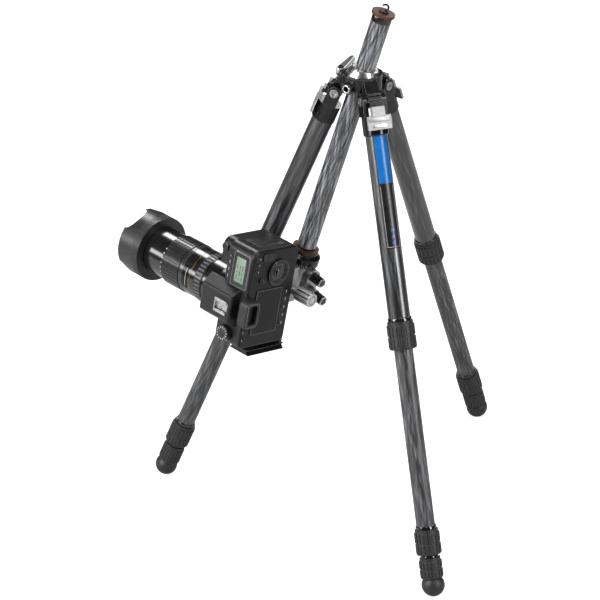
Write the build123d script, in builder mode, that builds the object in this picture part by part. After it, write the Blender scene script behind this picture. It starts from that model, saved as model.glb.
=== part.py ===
"""Digital camera in an L bracket, hung from the inverted column of a carbon tripod.

Lengths are millimetres and angles are degrees. The tripod stands on Z = 0.
"""
import os
from math import cos, radians, sin, sqrt

from build123d import *

os.makedirs("parts", exist_ok=True)

# Clearances
RUN = 0.3
SEAT = 0.05
PIN_FIT = 0.05
CUT_OVER = 1

# Legs, measured down each leg from its hinge
LEG_AZIMUTHS = (-60, 60, 180)
LEG_SPLAY = 22.2
HINGE_RADIUS = 38
SECTION_WALL = 1.5
SECTION_1_DIAMETER = 32
SECTION_2_DIAMETER = 27.5
SECTION_3_DIAMETER = 23
SECTION_4_DIAMETER = 18.5
SECTION_1_EXPOSED = 268
SECTION_2_EXPOSED = 265
SECTION_OVERLAP = 40
NEST_STEP = 45
COLLAPSED_GAP = 5
SHOULDER_TOP = 22
SHOULDER_LENGTH = 28
SHOULDER_FLAT = 0.8
SHOULDER_WALL = 2.3
SHOULDER_CAP = 3
SHOULDER_CHAMFER = 1.2
EAR_THICKNESS = 8
EAR_RADIUS = 10
BOLT_RADIUS = 4
BOLT_HEAD_RADIUS = 6.5
BOLT_HEAD_HEIGHT = 3
BOLT_SINK = 2
HEX_RADIUS = 3.2
HEX_DEPTH = 1.6
LATCH_WIDTH = 36
LATCH_HEIGHT = 20
LATCH_THICKNESS = 3.6
LATCH_TONGUE = 8
LATCH_TIP_DROP = 8.7
LOCK_1_LENGTH = 40
LOCK_2_LENGTH = 37
LOCK_3_LENGTH = 30
LOCK_1_WALL = 4.4
LOCK_2_WALL = 5
LOCK_3_WALL = 5.5
LOCK_THREAD = 16
LOCK_RING = 5
LOCK_RING_STEP = 1.6
LOCK_WAIST = 3
LOCK_LIP = 2
RIB_COUNT = 20
RIB_GAP = 2.2
RIB_DEPTH = 1.1
FOOT_RADIUS = 17
FOOT_NECK = 10
FOOT_GAP = 1
FOOT_FLAT = 0.6

# Apex, measured from the centre of the column ball
BALL_RADIUS = 24
BALL_HALF_HEIGHT = 15
BALL_SLOTS = 6
BALL_SLOT_WIDTH = 1.4
BALL_SLOT_DEPTH = 18
HINGE_DROP = 21.7
SEAT_WALL = 1.7
APEX_WALL = 2.4
APEX_TOP = 6
APEX_LIP = 1.8
APEX_LEDGE = 4.5
APEX_BOTTOM = 15
APEX_OPENING = 24.4
LUG_WIDTH = 20
LUG_RADIUS = 11
# Corners of a lug and roots of its stops, as shares of the lug's radius
LUG_KNEE = (0.6, 0.8)
LUG_HEEL = (0.3, 0.95)
STOP_ROOT = 0.7
RIDGE_ROOT = 0.5
STOP_REACH = 18
STOP_HEIGHT = 6
STOP_RIDGES = (2, 7)
RIDGE_HEIGHT = 2.6
RIDGE_REACH = 14.5
PORT_AZIMUTH = 240
PORT_RADIUS = 4
PORT_DEPTH = 8
PORT_REACH = 37
PORT_DROP = 8
PORT_BOSS = (18, 15)
PORT_CORNER = 5
LEVER_AZIMUTH = 153
LEVER_RADIUS = 39
LEVER_HEADING = 78
LEVER_LENGTH = 46
LEVER_EYE = 6.5
LEVER_TIP = 4
LEVER_THICKNESS = 7
LEVER_BOSS_THICKNESS = 3.2
LEVER_DROP_GAP = 6
LEVER_PIN = 2.5
LEVER_PIN_HEAD = 4
LEVER_PIN_HEAD_HEIGHT = 1.4
CLAMP_SLIT_AZIMUTH = 132
CLAMP_SLIT = 1.6

# Column, measured up its own axis from the ball
COLUMN_LEAN = 16.5
COLUMN_AZIMUTH = 5.9
COLUMN_DIAMETER = 29
COLUMN_WALL = 1.8
COLUMN_UP = 96
COLUMN_DOWN = 282
CAP_PLUG = 12
CAP_FLANGE = 3
CAP_STEM = 5
TOP_DISC_DIAMETER = 34.4
TOP_DISC_THICKNESS = 4
FOOT_DISC_DIAMETER = 40
FOOT_DISC_THICKNESS = 3.5
HOOK_BASE_RADIUS = 7
HOOK_BASE_HEIGHT = 3
HOOK_RADIUS = 4.4
HOOK_WIRE = 1.5
HOOK_SWEEP = 250
STUD_RADIUS = 4.7
STUD_LENGTH = 9

# Ball head, measured from the centre of its ball
HEAD_PAN = -132.1
HEAD_BALL_RADIUS = 18
HOUSING_RADIUS = 24
HOUSING_TOP = 22.2
HOUSING_BOTTOM = 12
HOUSING_CHAMFER = 2.5
BASE_HEIGHT = 21
BASE_RADIUS = 25.5
BASE_NECK_RADIUS = 20
BASE_NECK = 3
BASE_CONE = 5
PIVOT_RADIUS = 13
PIVOT_DEPTH = 2.7
STEM_RADIUS = 7.5
STEM_FLANGE_RADIUS = 16
STEM_FLANGE = 4.1
NOTCH_GAP = 0.6
KNOB_HEIGHTS = (12.5, -11)
KNOB_RADIUS = 7.5
KNOB_LENGTH = 18
KNOB_RIM = 4
KNOB_FLUTES = 12
KNOB_FLUTE = 1.6
KNOB_BOSS_RADIUS = 8.5
KNOB_BOSS_REACHES = (32, 45)
KNOB_SLAB = (26, 44)
KNOB_SLAB_CORNER = 10
KNOB_SHAFT = 3
KNOB_SHAFT_LENGTH = 11

# Camera: X to the grip, Y to its top, Z to its back, from the lens mount's centre
CAMERA_ROLL = -9.4
STEM_X = 20.6
STEM_Z = 11.6
BALL_TO_LENS = 101.6
BODY_LEFT = 60
BODY_RIGHT = 93
BODY_BASE = 47
BODY_TOP = 46
BODY_FRONT = 4
BODY_REAR = 52
BODY_CORNER = 9
BODY_EDGE = 3.5
GRIP_END_CORNER = 14
GRIP_FRONT = 17
GRIP_WIDTH = 38
GRIP_TOP = 41
GRIP_EDGE = 9
PRISM_TOP = 62
PRISM_HALF = 20
PRISM_FOOT_HALF = 32
PRISM_FRONT = 24
PRISM_REAR = 44
PRISM_EDGE = 4
THROAT_RADIUS = 37
COVER_INSET = 0.3
COVER_THICKNESS = 4
COVER_EDGE = 3
SCREEN_CENTRE = (-4.5, 2)
SCREEN_SIZE = (68, 50)
SCREEN_DEPTH = 2
SCREEN_PROUD = 1
SCREEN_CORNER = 3
BUTTON_RADIUS = 3
BUTTON_HEIGHT = 1.4
LOW_BUTTONS = 5
LOW_BUTTON_Y = -30
LOW_BUTTON_PITCH = 12.5
HIGH_BUTTONS = ((-33, 37), (-46, 37), (60, 36), (70, 36), (80, 36), (45, 22))
REAR_DIAL_CENTRE = (55, -9)
REAR_DIAL_RADIUS = 20
REAR_DIAL_THICKNESS = 3
REAR_DIAL_HUB = 8
REAR_DIAL_PIVOT = 4
EYECUP_SIZE = (42, 28)
EYECUP_CENTRE_Y = 44
EYECUP_DEPTH = 15
EYECUP_WALL = 6
EYECUP_CORNER = 8
SHOE_SIZE = (21, 24)
SHOE_CENTRE_Z = 24
SHOE_HEIGHT = 4
SHOE_SLOT = (18, 1.8)
SHOE_MOUTH = 12.5
DISPLAY_CENTRE = (57, 35)
DISPLAY_SIZE = (48, 28)
DISPLAY_DEPTH = 2
DISPLAY_PROUD = 0.8
MODE_DIAL_CENTRE = (-43, 27)
MODE_DIAL_RADIUS = 12
MODE_DIAL_HEIGHT = 9
MODE_DIAL_PIVOT = 4
DIAL_TEETH = 24
DIAL_TOOTH = 1.2
MAIN_DIAL_CENTRE = (78, 40, 13)
MAIN_DIAL_RADIUS = 8
MAIN_DIAL_WIDTH = 9
MAIN_DIAL_PIVOT = 2
SHUTTER_CENTRE = (78, -6)
SHUTTER_RADIUS = 6.5
SHUTTER_TRAVEL = 1.5
SHUTTER_HEIGHT = 3
SHUTTER_DEPTH = 6

# L bracket and clamp
PLATE_THICKNESS = 10
PLATE_WIDTH = 38
PLATE_RIGHT = 60
FLANGE_BACK = 50
FLANGE_THICKNESS = 4
DOVETAIL_DEPTH = 4.5
DOVETAIL_LAND = 1
ARM_GAP = 9
ARM_THICKNESS = 9
ARM_TOP = 18
ARM_Z = 31
BRACKET_EDGE = 1.5
CLAMP_LENGTH = 54
CLAMP_FLOOR = 13
CLAMP_WALL = 9
CLAMP_CORNER = 4
JAW_THICKNESS = 12
SCREW_RADIUS = 3.5
SCREW_DROP = 6.5
SCREW_X = 11.6
SCREW_LENGTH = 29
CLAMP_KNOB_RADIUS = 11
CLAMP_KNOB_LENGTH = 29
CLAMP_KNOB_NECK_RADIUS = 6
CLAMP_KNOB_NECK = 12
CLAMP_KNOB_FLUTES = 10
CLAMP_KNOB_FLUTE = 2.6

# Lens, measured forward from the mount
MOUNT_RADIUS = 33
MOUNT_LENGTH = 8
BARREL_RADIUS = 38
BARREL_FLARE = 22
FOCUS_RING_START = 47
FOCUS_RING_LENGTH = 16
ZOOM_RING_START = 97
ZOOM_RING_LENGTH = 38
RING_PROUD = 1
RING_FLUTES = 40
RING_FLUTE = 1
SHELL_WALL = 1.2
FOCUS_GROOVE = 3.5
ZOOM_BARREL_WALL = 2.6
ZOOM_BARREL_REAR = 105
ZOOM_BARREL_FRONT = 188
GUIDE_WALL = 3.5
GUIDE_FRONT = 132
FRONT_GLASS_RADIUS = 31
FRONT_GLASS_DEPTH = 9
FRONT_GLASS_BULGE = 3
FRONT_BEZEL = 4
HOOD_REAR = 176
HOOD_FRONT = 217
HOOD_REAR_RADIUS = 50
HOOD_FRONT_RADIUS = 51
HOOD_WALL = 2
HOOD_COLLAR = 5
PETAL_NOTCH = (12, 22)
PETAL_ANGLE = 58

# Places that follow from the sizes above
SHOULDER_BOTTOM = SHOULDER_TOP + SHOULDER_LENGTH
LOCK_1_TOP = SHOULDER_BOTTOM + SECTION_1_EXPOSED
LOCK_1_BOTTOM = LOCK_1_TOP + LOCK_1_LENGTH
LOCK_2_TOP = LOCK_1_BOTTOM + SECTION_2_EXPOSED
LOCK_2_BOTTOM = LOCK_2_TOP + LOCK_2_LENGTH
LOCK_3_TOP = LOCK_2_BOTTOM + COLLAPSED_GAP
LOCK_3_BOTTOM = LOCK_3_TOP + LOCK_3_LENGTH
FOOT_TOP = LOCK_3_BOTTOM + FOOT_GAP
FOOT_CENTRE = FOOT_TOP + FOOT_NECK
SECTION_1_TOP = SHOULDER_TOP + SHOULDER_CAP + SEAT
SECTION_2_TOP = LOCK_1_TOP - SECTION_OVERLAP
SECTION_3_TOP = SECTION_2_TOP + NEST_STEP
SECTION_4_TOP = SECTION_3_TOP + NEST_STEP
HINGE_HEIGHT = FOOT_CENTRE * cos(radians(LEG_SPLAY)) + FOOT_RADIUS - FOOT_FLAT
BALL_HEIGHT = HINGE_HEIGHT + HINGE_DROP
SHOULDER_RADIUS = SECTION_1_DIAMETER / 2 + SHOULDER_WALL
EAR_INNER = LUG_WIDTH / 2 + RUN
EAR_OUTER = EAR_INNER + EAR_THICKNESS
COLUMN_RADIUS = COLUMN_DIAMETER / 2
PLATE_BOTTOM = BODY_BASE + PLATE_THICKNESS
CLAMP_BOTTOM = PLATE_BOTTOM + CLAMP_FLOOR
STEM_END = BALL_TO_LENS - CLAMP_BOTTOM - RUN
DIAL_PLANE = BODY_REAR + COVER_THICKNESS
HEAD_DROP = COLUMN_DOWN + CAP_FLANGE + FOOT_DISC_THICKNESS + BASE_HEIGHT + RUN + HOUSING_TOP


def around(azimuth):
    """Unit vector from the tripod's axis towards an azimuth."""
    return Vector(cos(radians(azimuth)), sin(radians(azimuth)), 0)


def profile(base):
    """Plane through the axis of base, with base's X across and base's Z up."""
    return Plane(origin=base.origin, x_dir=base.x_dir, z_dir=-base.y_dir)


def leg_frame(azimuth):
    """Frame at a leg's hinge: X outward, Y along the hinge, Z up the leg."""
    outward = around(azimuth)
    lean = radians(LEG_SPLAY)
    hinge = outward * HINGE_RADIUS + Vector(0, 0, HINGE_HEIGHT)
    across = outward * cos(lean) + Vector(0, 0, sin(lean))
    up = Vector(0, 0, cos(lean)) - outward * sin(lean)
    return Plane(origin=hinge, x_dir=across, z_dir=up)


def column_frame():
    """Frame at the column ball: Z up the column, X in the plane of its lean."""
    lean = radians(COLUMN_LEAN)
    side = around(COLUMN_AZIMUTH)
    up = side * sin(lean) + Vector(0, 0, cos(lean))
    across = side * cos(lean) - Vector(0, 0, sin(lean))
    return Plane(origin=(0, 0, BALL_HEIGHT), x_dir=across, z_dir=up)


def head_frame(column):
    """Frame at the head's ball: Z up the column, X along the stem."""
    pan = radians(HEAD_PAN)
    stem = column.x_dir * cos(pan) + column.y_dir * sin(pan)
    centre = column.origin - column.z_dir * HEAD_DROP
    return Plane(origin=centre, x_dir=stem, z_dir=column.z_dir)


def camera_frame(head):
    """Frame at the lens mount: X to the grip, Y to the top, Z to the back."""
    roll = radians(CAMERA_ROLL)
    grip = head.z_dir * cos(roll) + head.y_dir * sin(roll)
    back = head.y_dir * cos(roll) - head.z_dir * sin(roll)
    mount = head.origin + head.x_dir * BALL_TO_LENS - grip * STEM_X - back * STEM_Z
    return Plane(origin=mount, x_dir=grip, z_dir=back)


LEGS = [leg_frame(azimuth) for azimuth in LEG_AZIMUTHS]
COLUMN = column_frame()
HEAD = head_frame(COLUMN)
CAMERA = camera_frame(HEAD)
APEX = Plane(origin=(0, 0, BALL_HEIGHT))
# Across the camera: local X is the camera's back, local Y its top, normal away from the grip
SECTION = Plane(origin=CAMERA.origin, x_dir=CAMERA.z_dir, z_dir=-CAMERA.x_dir)
# Above the camera: local X is the camera's back, local Y its grip, normal its top
PLAN = Plane(origin=CAMERA.origin, x_dir=CAMERA.z_dir, z_dir=CAMERA.y_dir)
LENS_AXIS = Axis(CAMERA.origin, CAMERA.z_dir)

pieces = {}


def keep(builder, label):
    """Store a finished sub-part under its node's name."""
    builder.part.label = label
    pieces[label] = builder.part


def ring(base, top, bottom, outer, inner):
    """Plain tube on base's axis, from one height down to another."""
    with BuildPart() as tube:
        with BuildSketch(base.offset(bottom)):
            Circle(outer)
            Circle(inner, mode=Mode.SUBTRACT)
        extrude(amount=top - bottom)
    return tube


def twist_lock(leg, top, length, wall, upper, lower):
    """Rubber twist collar: a plain ring, then two ribbed bands about a waist."""
    outer = upper / 2 + wall
    bottom = top + length
    middle = (top + LOCK_RING + bottom - LOCK_LIP) / 2
    step = top + LOCK_THREAD + RUN
    wide = upper / 2 + RUN
    narrow = lower / 2 + RUN
    with BuildPart() as collar:
        with BuildSketch(profile(leg)):
            with BuildLine():
                Polyline(
                    (wide, -top),
                    (outer - LOCK_RING_STEP, -top),
                    (outer - LOCK_RING_STEP, -top - LOCK_RING),
                    (outer, -top - LOCK_RING),
                    (outer, LOCK_WAIST / 2 - middle),
                    (outer - RIB_DEPTH, LOCK_WAIST / 2 - middle),
                    (outer - RIB_DEPTH, -LOCK_WAIST / 2 - middle),
                    (outer, -LOCK_WAIST / 2 - middle),
                    (outer, LOCK_LIP - bottom),
                    (outer - RIB_DEPTH, -bottom),
                    (narrow, -bottom),
                    (narrow, -step),
                    (wide, -step),
                    close=True,
                )
            make_face()
        revolve(axis=Axis(leg.origin, leg.z_dir))
        with BuildSketch(leg.offset(LOCK_LIP - bottom)):
            with PolarLocations(outer, RIB_COUNT):
                Rectangle(2 * RIB_DEPTH, RIB_GAP)
        extrude(amount=length - LOCK_LIP - LOCK_RING, mode=Mode.SUBTRACT)
    return collar


def leg_shoulder(leg):
    """Cast shoulder: a clevis about the apex lug, over the socket of the upper tube."""
    side = profile(leg)
    with BuildPart() as shoulder:
        with BuildSketch(leg.offset(-SHOULDER_BOTTOM)):
            Circle(SHOULDER_RADIUS)
        extrude(amount=SHOULDER_LENGTH)
        chamfer(shoulder.edges().sort_by(Axis(leg.origin, leg.z_dir))[0], SHOULDER_CHAMFER)
        with BuildSketch(side):
            Circle(EAR_RADIUS)
            with Locations((0, -SHOULDER_TOP / 2)):
                Rectangle(2 * EAR_RADIUS, SHOULDER_TOP)
        extrude(amount=EAR_OUTER, both=True)
        with BuildSketch(side):
            with Locations((0, -SHOULDER_TOP)):
                Rectangle(4 * EAR_RADIUS, SHOULDER_TOP + 2 * EAR_RADIUS, align=(Align.CENTER, Align.MIN))
        extrude(amount=EAR_INNER, both=True, mode=Mode.SUBTRACT)
        with BuildSketch(side):
            Circle(BOLT_RADIUS + PIN_FIT)
        extrude(amount=EAR_OUTER, both=True, mode=Mode.SUBTRACT)
        for face in (side.offset(EAR_OUTER - BOLT_SINK), side.offset(-EAR_OUTER)):
            with BuildSketch(face):
                Circle(BOLT_HEAD_RADIUS + RUN)
            extrude(amount=BOLT_SINK, mode=Mode.SUBTRACT)
        with BuildSketch(leg.offset(-SHOULDER_BOTTOM)):
            Circle(SECTION_1_DIAMETER / 2 + SEAT)
        extrude(amount=SHOULDER_LENGTH - SHOULDER_CAP, mode=Mode.SUBTRACT)
        flat = Plane(origin=leg.origin, x_dir=leg.y_dir, z_dir=leg.x_dir)
        split(bisect_by=flat.offset(-SECTION_1_DIAMETER / 2 - SHOULDER_FLAT), keep=Keep.TOP)
    return shoulder


def angle_latch(leg):
    """T shaped latch: a tongue between the ears, a wide pull over the socket."""
    side = profile(leg)
    inner = SHOULDER_RADIUS + RUN
    outer = inner + LATCH_THICKNESS
    pull_top = SHOULDER_TOP - RUN
    with BuildPart() as latch:
        with BuildSketch(side):
            with BuildLine():
                Polyline(
                    (outer - LATCH_TONGUE, -LATCH_TIP_DROP),
                    (outer, -LATCH_TIP_DROP),
                    (outer, -pull_top),
                    (outer - LATCH_TONGUE, -pull_top),
                    close=True,
                )
            make_face()
        extrude(amount=LUG_WIDTH / 2 - RUN, both=True)
        with BuildSketch(leg.offset(-pull_top)):
            with Locations(((inner + outer) / 2, 0)):
                Rectangle(LATCH_THICKNESS, LATCH_WIDTH)
        extrude(amount=-LATCH_HEIGHT)
        pull = latch.faces().sort_by(Axis(leg.origin, leg.z_dir))[0]
        fillet(pull.edges().filter_by(Axis(leg.origin, leg.x_dir)), LATCH_THICKNESS / 3)
    return latch


def leg_foot(leg):
    """Lowest section with its rubber dome, worn flat where it meets the floor."""
    outer = SECTION_4_DIAMETER / 2
    inner = outer - SECTION_WALL
    neck = sqrt(FOOT_RADIUS**2 - FOOT_NECK**2)
    with BuildPart() as foot:
        with BuildSketch(profile(leg)):
            with BuildLine():
                Polyline(
                    (0, -FOOT_CENTRE - FOOT_RADIUS),
                    (0, -FOOT_TOP),
                    (inner, -FOOT_TOP),
                    (inner, -SECTION_4_TOP),
                    (outer, -SECTION_4_TOP),
                    (outer, -FOOT_TOP),
                    (neck, -FOOT_TOP),
                )
                ThreePointArc(
                    (neck, -FOOT_TOP),
                    (FOOT_RADIUS, -FOOT_CENTRE),
                    (0, -FOOT_CENTRE - FOOT_RADIUS),
                )
            make_face()
        revolve(axis=Axis(leg.origin, leg.z_dir))
        split(bisect_by=Plane.XY, keep=Keep.TOP)
    return foot


def build_leg(name, leg):
    """All the pieces of one leg."""
    radii = [d / 2 for d in (SECTION_1_DIAMETER, SECTION_2_DIAMETER, SECTION_3_DIAMETER)]
    tops = (SECTION_1_TOP, SECTION_2_TOP, SECTION_3_TOP)
    ends = [top + LOCK_THREAD for top in (LOCK_1_TOP, LOCK_2_TOP, LOCK_3_TOP)]
    keep(leg_shoulder(leg), f"{name}_shoulder")
    keep(angle_latch(leg), f"{name}_latch")
    labels = ("upper_tube", "second_tube", "third_tube")
    for label, radius, top, end in zip(labels, radii, tops, ends):
        keep(ring(leg, -top, -end, radius, radius - SECTION_WALL), f"{name}_{label}")
    locks = (
        (LOCK_1_TOP, LOCK_1_LENGTH, LOCK_1_WALL, SECTION_1_DIAMETER, SECTION_2_DIAMETER),
        (LOCK_2_TOP, LOCK_2_LENGTH, LOCK_2_WALL, SECTION_2_DIAMETER, SECTION_3_DIAMETER),
        (LOCK_3_TOP, LOCK_3_LENGTH, LOCK_3_WALL, SECTION_3_DIAMETER, SECTION_4_DIAMETER),
    )
    for number, sizes in enumerate(locks, 1):
        keep(twist_lock(leg, *sizes), f"{name}_lock_{number}")
    keep(leg_foot(leg), f"{name}_foot")


for number, leg in enumerate(LEGS, 1):
    build_leg(f"leg_{number}", leg)

# Hinge bolts, with a hex socket at each end
with BuildPart() as hinge_bolts:
    for leg in LEGS:
        side = profile(leg)
        head = EAR_OUTER - BOLT_SINK + RUN
        with BuildSketch(side):
            Circle(BOLT_RADIUS)
        extrude(amount=head, both=True)
        for face in (side.offset(head), side.offset(-head - BOLT_HEAD_HEIGHT)):
            with BuildSketch(face):
                Circle(BOLT_HEAD_RADIUS)
            extrude(amount=BOLT_HEAD_HEIGHT)
        for end, way in ((head + BOLT_HEAD_HEIGHT, -1), (-head - BOLT_HEAD_HEIGHT, 1)):
            with BuildSketch(side.offset(end)):
                RegularPolygon(HEX_RADIUS, 6)
            extrude(amount=way * HEX_DEPTH, mode=Mode.SUBTRACT)
keep(hinge_bolts, "leg_hinge_bolts")

# Apex: the clamp ring, three lugs with their angle stops, a port and a lever seat
SEAT_RADIUS = BALL_RADIUS + SEAT_WALL
APEX_BORE = SEAT_RADIUS + RUN
APEX_RADIUS = APEX_BORE + APEX_WALL
LEVER_PLANE = EAR_RADIUS - HINGE_DROP + LEVER_DROP_GAP + LEVER_BOSS_THICKNESS
LEVER_EYE_BASE = LEVER_PLANE + RUN
LEVER_PIVOT = around(LEVER_AZIMUTH) * LEVER_RADIUS
with BuildPart() as apex:
    with BuildSketch(APEX.offset(-APEX_BOTTOM)):
        Circle(APEX_RADIUS)
    extrude(amount=APEX_BOTTOM + APEX_TOP)
    for azimuth in LEG_AZIMUTHS:
        upright = Plane(origin=(0, 0, BALL_HEIGHT), x_dir=around(azimuth), z_dir=-around(azimuth + 90))
        with BuildSketch(upright):
            with Locations((HINGE_RADIUS, -HINGE_DROP)):
                Circle(LUG_RADIUS)
            with BuildLine():
                Polyline(
                    (APEX_BORE, APEX_TOP - APEX_LIP),
                    (APEX_RADIUS + APEX_LIP, APEX_TOP - APEX_LIP),
                    (HINGE_RADIUS + LUG_RADIUS * LUG_KNEE[0], LUG_RADIUS * LUG_KNEE[1] - HINGE_DROP),
                    (HINGE_RADIUS - LUG_RADIUS * LUG_HEEL[0], -LUG_RADIUS * LUG_HEEL[1] - HINGE_DROP),
                    (APEX_BORE, -APEX_BOTTOM),
                    close=True,
                )
            make_face()
        extrude(amount=LUG_WIDTH / 2, both=True)
    for leg in LEGS:
        side = profile(leg)
        stop_base = -LATCH_TIP_DROP + RUN
        with BuildSketch(side):
            with Locations((LUG_RADIUS * STOP_ROOT, stop_base)):
                stop = STOP_REACH - LUG_RADIUS * STOP_ROOT
                Rectangle(stop, STOP_HEIGHT, align=(Align.MIN, Align.MIN))
            for height in STOP_RIDGES:
                with Locations((LUG_RADIUS * RIDGE_ROOT, height)):
                    ridge = RIDGE_REACH - LUG_RADIUS * RIDGE_ROOT
                    Rectangle(ridge, RIDGE_HEIGHT, align=(Align.MIN, Align.MIN))
        extrude(amount=LUG_WIDTH / 2, both=True)
        with BuildSketch(side):
            Circle(BOLT_RADIUS + SEAT)
        extrude(amount=LUG_WIDTH, both=True, mode=Mode.SUBTRACT)
    port_way = around(PORT_AZIMUTH)
    port = Plane(
        origin=Vector(0, 0, BALL_HEIGHT - PORT_DROP) + port_way * PORT_REACH,
        x_dir=around(PORT_AZIMUTH + 90),
        z_dir=port_way,
    )
    with BuildSketch(port):
        RectangleRounded(*PORT_BOSS, PORT_CORNER)
    extrude(amount=APEX_BORE - PORT_REACH)
    with BuildSketch(port):
        Circle(PORT_RADIUS)
    extrude(amount=-PORT_DEPTH, mode=Mode.SUBTRACT)
    with BuildSketch(APEX.offset(LEVER_PLANE - LEVER_BOSS_THICKNESS)):
        with Locations(LEVER_PIVOT):
            Circle(LEVER_EYE)
        seat_middle = around(LEVER_AZIMUTH) * ((APEX_BORE + LEVER_RADIUS) / 2)
        with Locations(Location(seat_middle, (0, 0, LEVER_AZIMUTH))):
            Rectangle(LEVER_RADIUS - APEX_BORE, 2 * LEVER_EYE)
    extrude(amount=LEVER_BOSS_THICKNESS)
    with BuildSketch(APEX.offset(LEVER_PLANE)):
        with Locations(LEVER_PIVOT):
            Circle(LEVER_PIN)
    extrude(amount=LEVER_THICKNESS + 2 * RUN)
    with BuildSketch(APEX.offset(LEVER_PLANE + LEVER_THICKNESS + 2 * RUN)):
        with Locations(LEVER_PIVOT):
            Circle(LEVER_PIN_HEAD)
    extrude(amount=LEVER_PIN_HEAD_HEIGHT)
    with BuildSketch(profile(APEX)):
        with BuildLine():
            Polyline(
                (0, APEX_TOP),
                (APEX_OPENING, APEX_TOP),
                (APEX_OPENING, APEX_TOP - APEX_LIP),
                (APEX_BORE, APEX_TOP - APEX_LIP),
                (APEX_BORE, APEX_LEDGE - APEX_BOTTOM),
                (APEX_OPENING, APEX_LEDGE - APEX_BOTTOM),
                (APEX_OPENING, -HINGE_DROP - LUG_RADIUS),
                (0, -HINGE_DROP - LUG_RADIUS),
                close=True,
            )
        make_face()
    revolve(axis=Axis.Z, mode=Mode.SUBTRACT)
    slit_middle = around(CLAMP_SLIT_AZIMUTH) * APEX_RADIUS
    with BuildSketch(APEX.offset(-APEX_BOTTOM)):
        with Locations(Location(slit_middle, (0, 0, CLAMP_SLIT_AZIMUTH))):
            Rectangle(2 * (APEX_RADIUS - APEX_OPENING + CUT_OVER), CLAMP_SLIT)
    extrude(amount=APEX_BOTTOM + APEX_TOP, mode=Mode.SUBTRACT)
keep(apex, "apex_spider")

# Liner that the column ball turns in
liner_top = APEX_TOP - APEX_LIP - RUN
liner_bottom = APEX_LEDGE - APEX_BOTTOM + RUN
socket = BALL_RADIUS + RUN
with BuildPart() as seat_ring:
    with BuildSketch(profile(APEX)):
        with BuildLine():
            Polyline(
                (sqrt(socket**2 - liner_top**2), liner_top),
                (SEAT_RADIUS, liner_top),
                (SEAT_RADIUS, liner_bottom),
                (sqrt(socket**2 - liner_bottom**2), liner_bottom),
            )
            ThreePointArc(
                (sqrt(socket**2 - liner_bottom**2), liner_bottom),
                (socket, 0),
                (sqrt(socket**2 - liner_top**2), liner_top),
            )
        make_face()
    revolve(axis=Axis.Z)
keep(seat_ring, "ball_seat_ring")

# Cam lever that closes the apex ring
LEVER_END = LEVER_PIVOT + around(LEVER_HEADING) * LEVER_LENGTH
with BuildPart() as lever:
    with BuildSketch(APEX.offset(LEVER_EYE_BASE)):
        with Locations(LEVER_PIVOT):
            Circle(LEVER_EYE)
        with Locations(LEVER_END):
            Circle(LEVER_TIP)
        make_hull()
        with Locations(LEVER_PIVOT):
            Circle(LEVER_PIN + PIN_FIT, mode=Mode.SUBTRACT)
    extrude(amount=LEVER_THICKNESS)
    fillet(lever.faces().sort_by(Axis.Z)[-1].outer_wire().edges(), LEVER_TIP / 3)
keep(lever, "clamp_lever")

# Slotted ball that grips the column
COLUMN_BORE = COLUMN_RADIUS + RUN
ball_flat = sqrt(BALL_RADIUS**2 - BALL_HALF_HEIGHT**2)
with BuildPart() as column_ball:
    with BuildSketch(profile(COLUMN)):
        with BuildLine():
            Polyline(
                (ball_flat, -BALL_HALF_HEIGHT),
                (COLUMN_BORE, -BALL_HALF_HEIGHT),
                (COLUMN_BORE, BALL_HALF_HEIGHT),
                (ball_flat, BALL_HALF_HEIGHT),
            )
            ThreePointArc(
                (ball_flat, BALL_HALF_HEIGHT),
                (BALL_RADIUS, 0),
                (ball_flat, -BALL_HALF_HEIGHT),
            )
        make_face()
    revolve(axis=Axis(COLUMN.origin, COLUMN.z_dir))
    with BuildSketch(COLUMN.offset(BALL_HALF_HEIGHT)):
        with PolarLocations((COLUMN_BORE + BALL_RADIUS) / 2, BALL_SLOTS):
            Rectangle(BALL_RADIUS - COLUMN_BORE + 2 * CUT_OVER, BALL_SLOT_WIDTH)
    extrude(amount=-BALL_SLOT_DEPTH, mode=Mode.SUBTRACT)
keep(column_ball, "column_ball")

keep(
    ring(COLUMN, COLUMN_UP, -COLUMN_DOWN, COLUMN_RADIUS, COLUMN_RADIUS - COLUMN_WALL),
    "column_tube",
)

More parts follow.
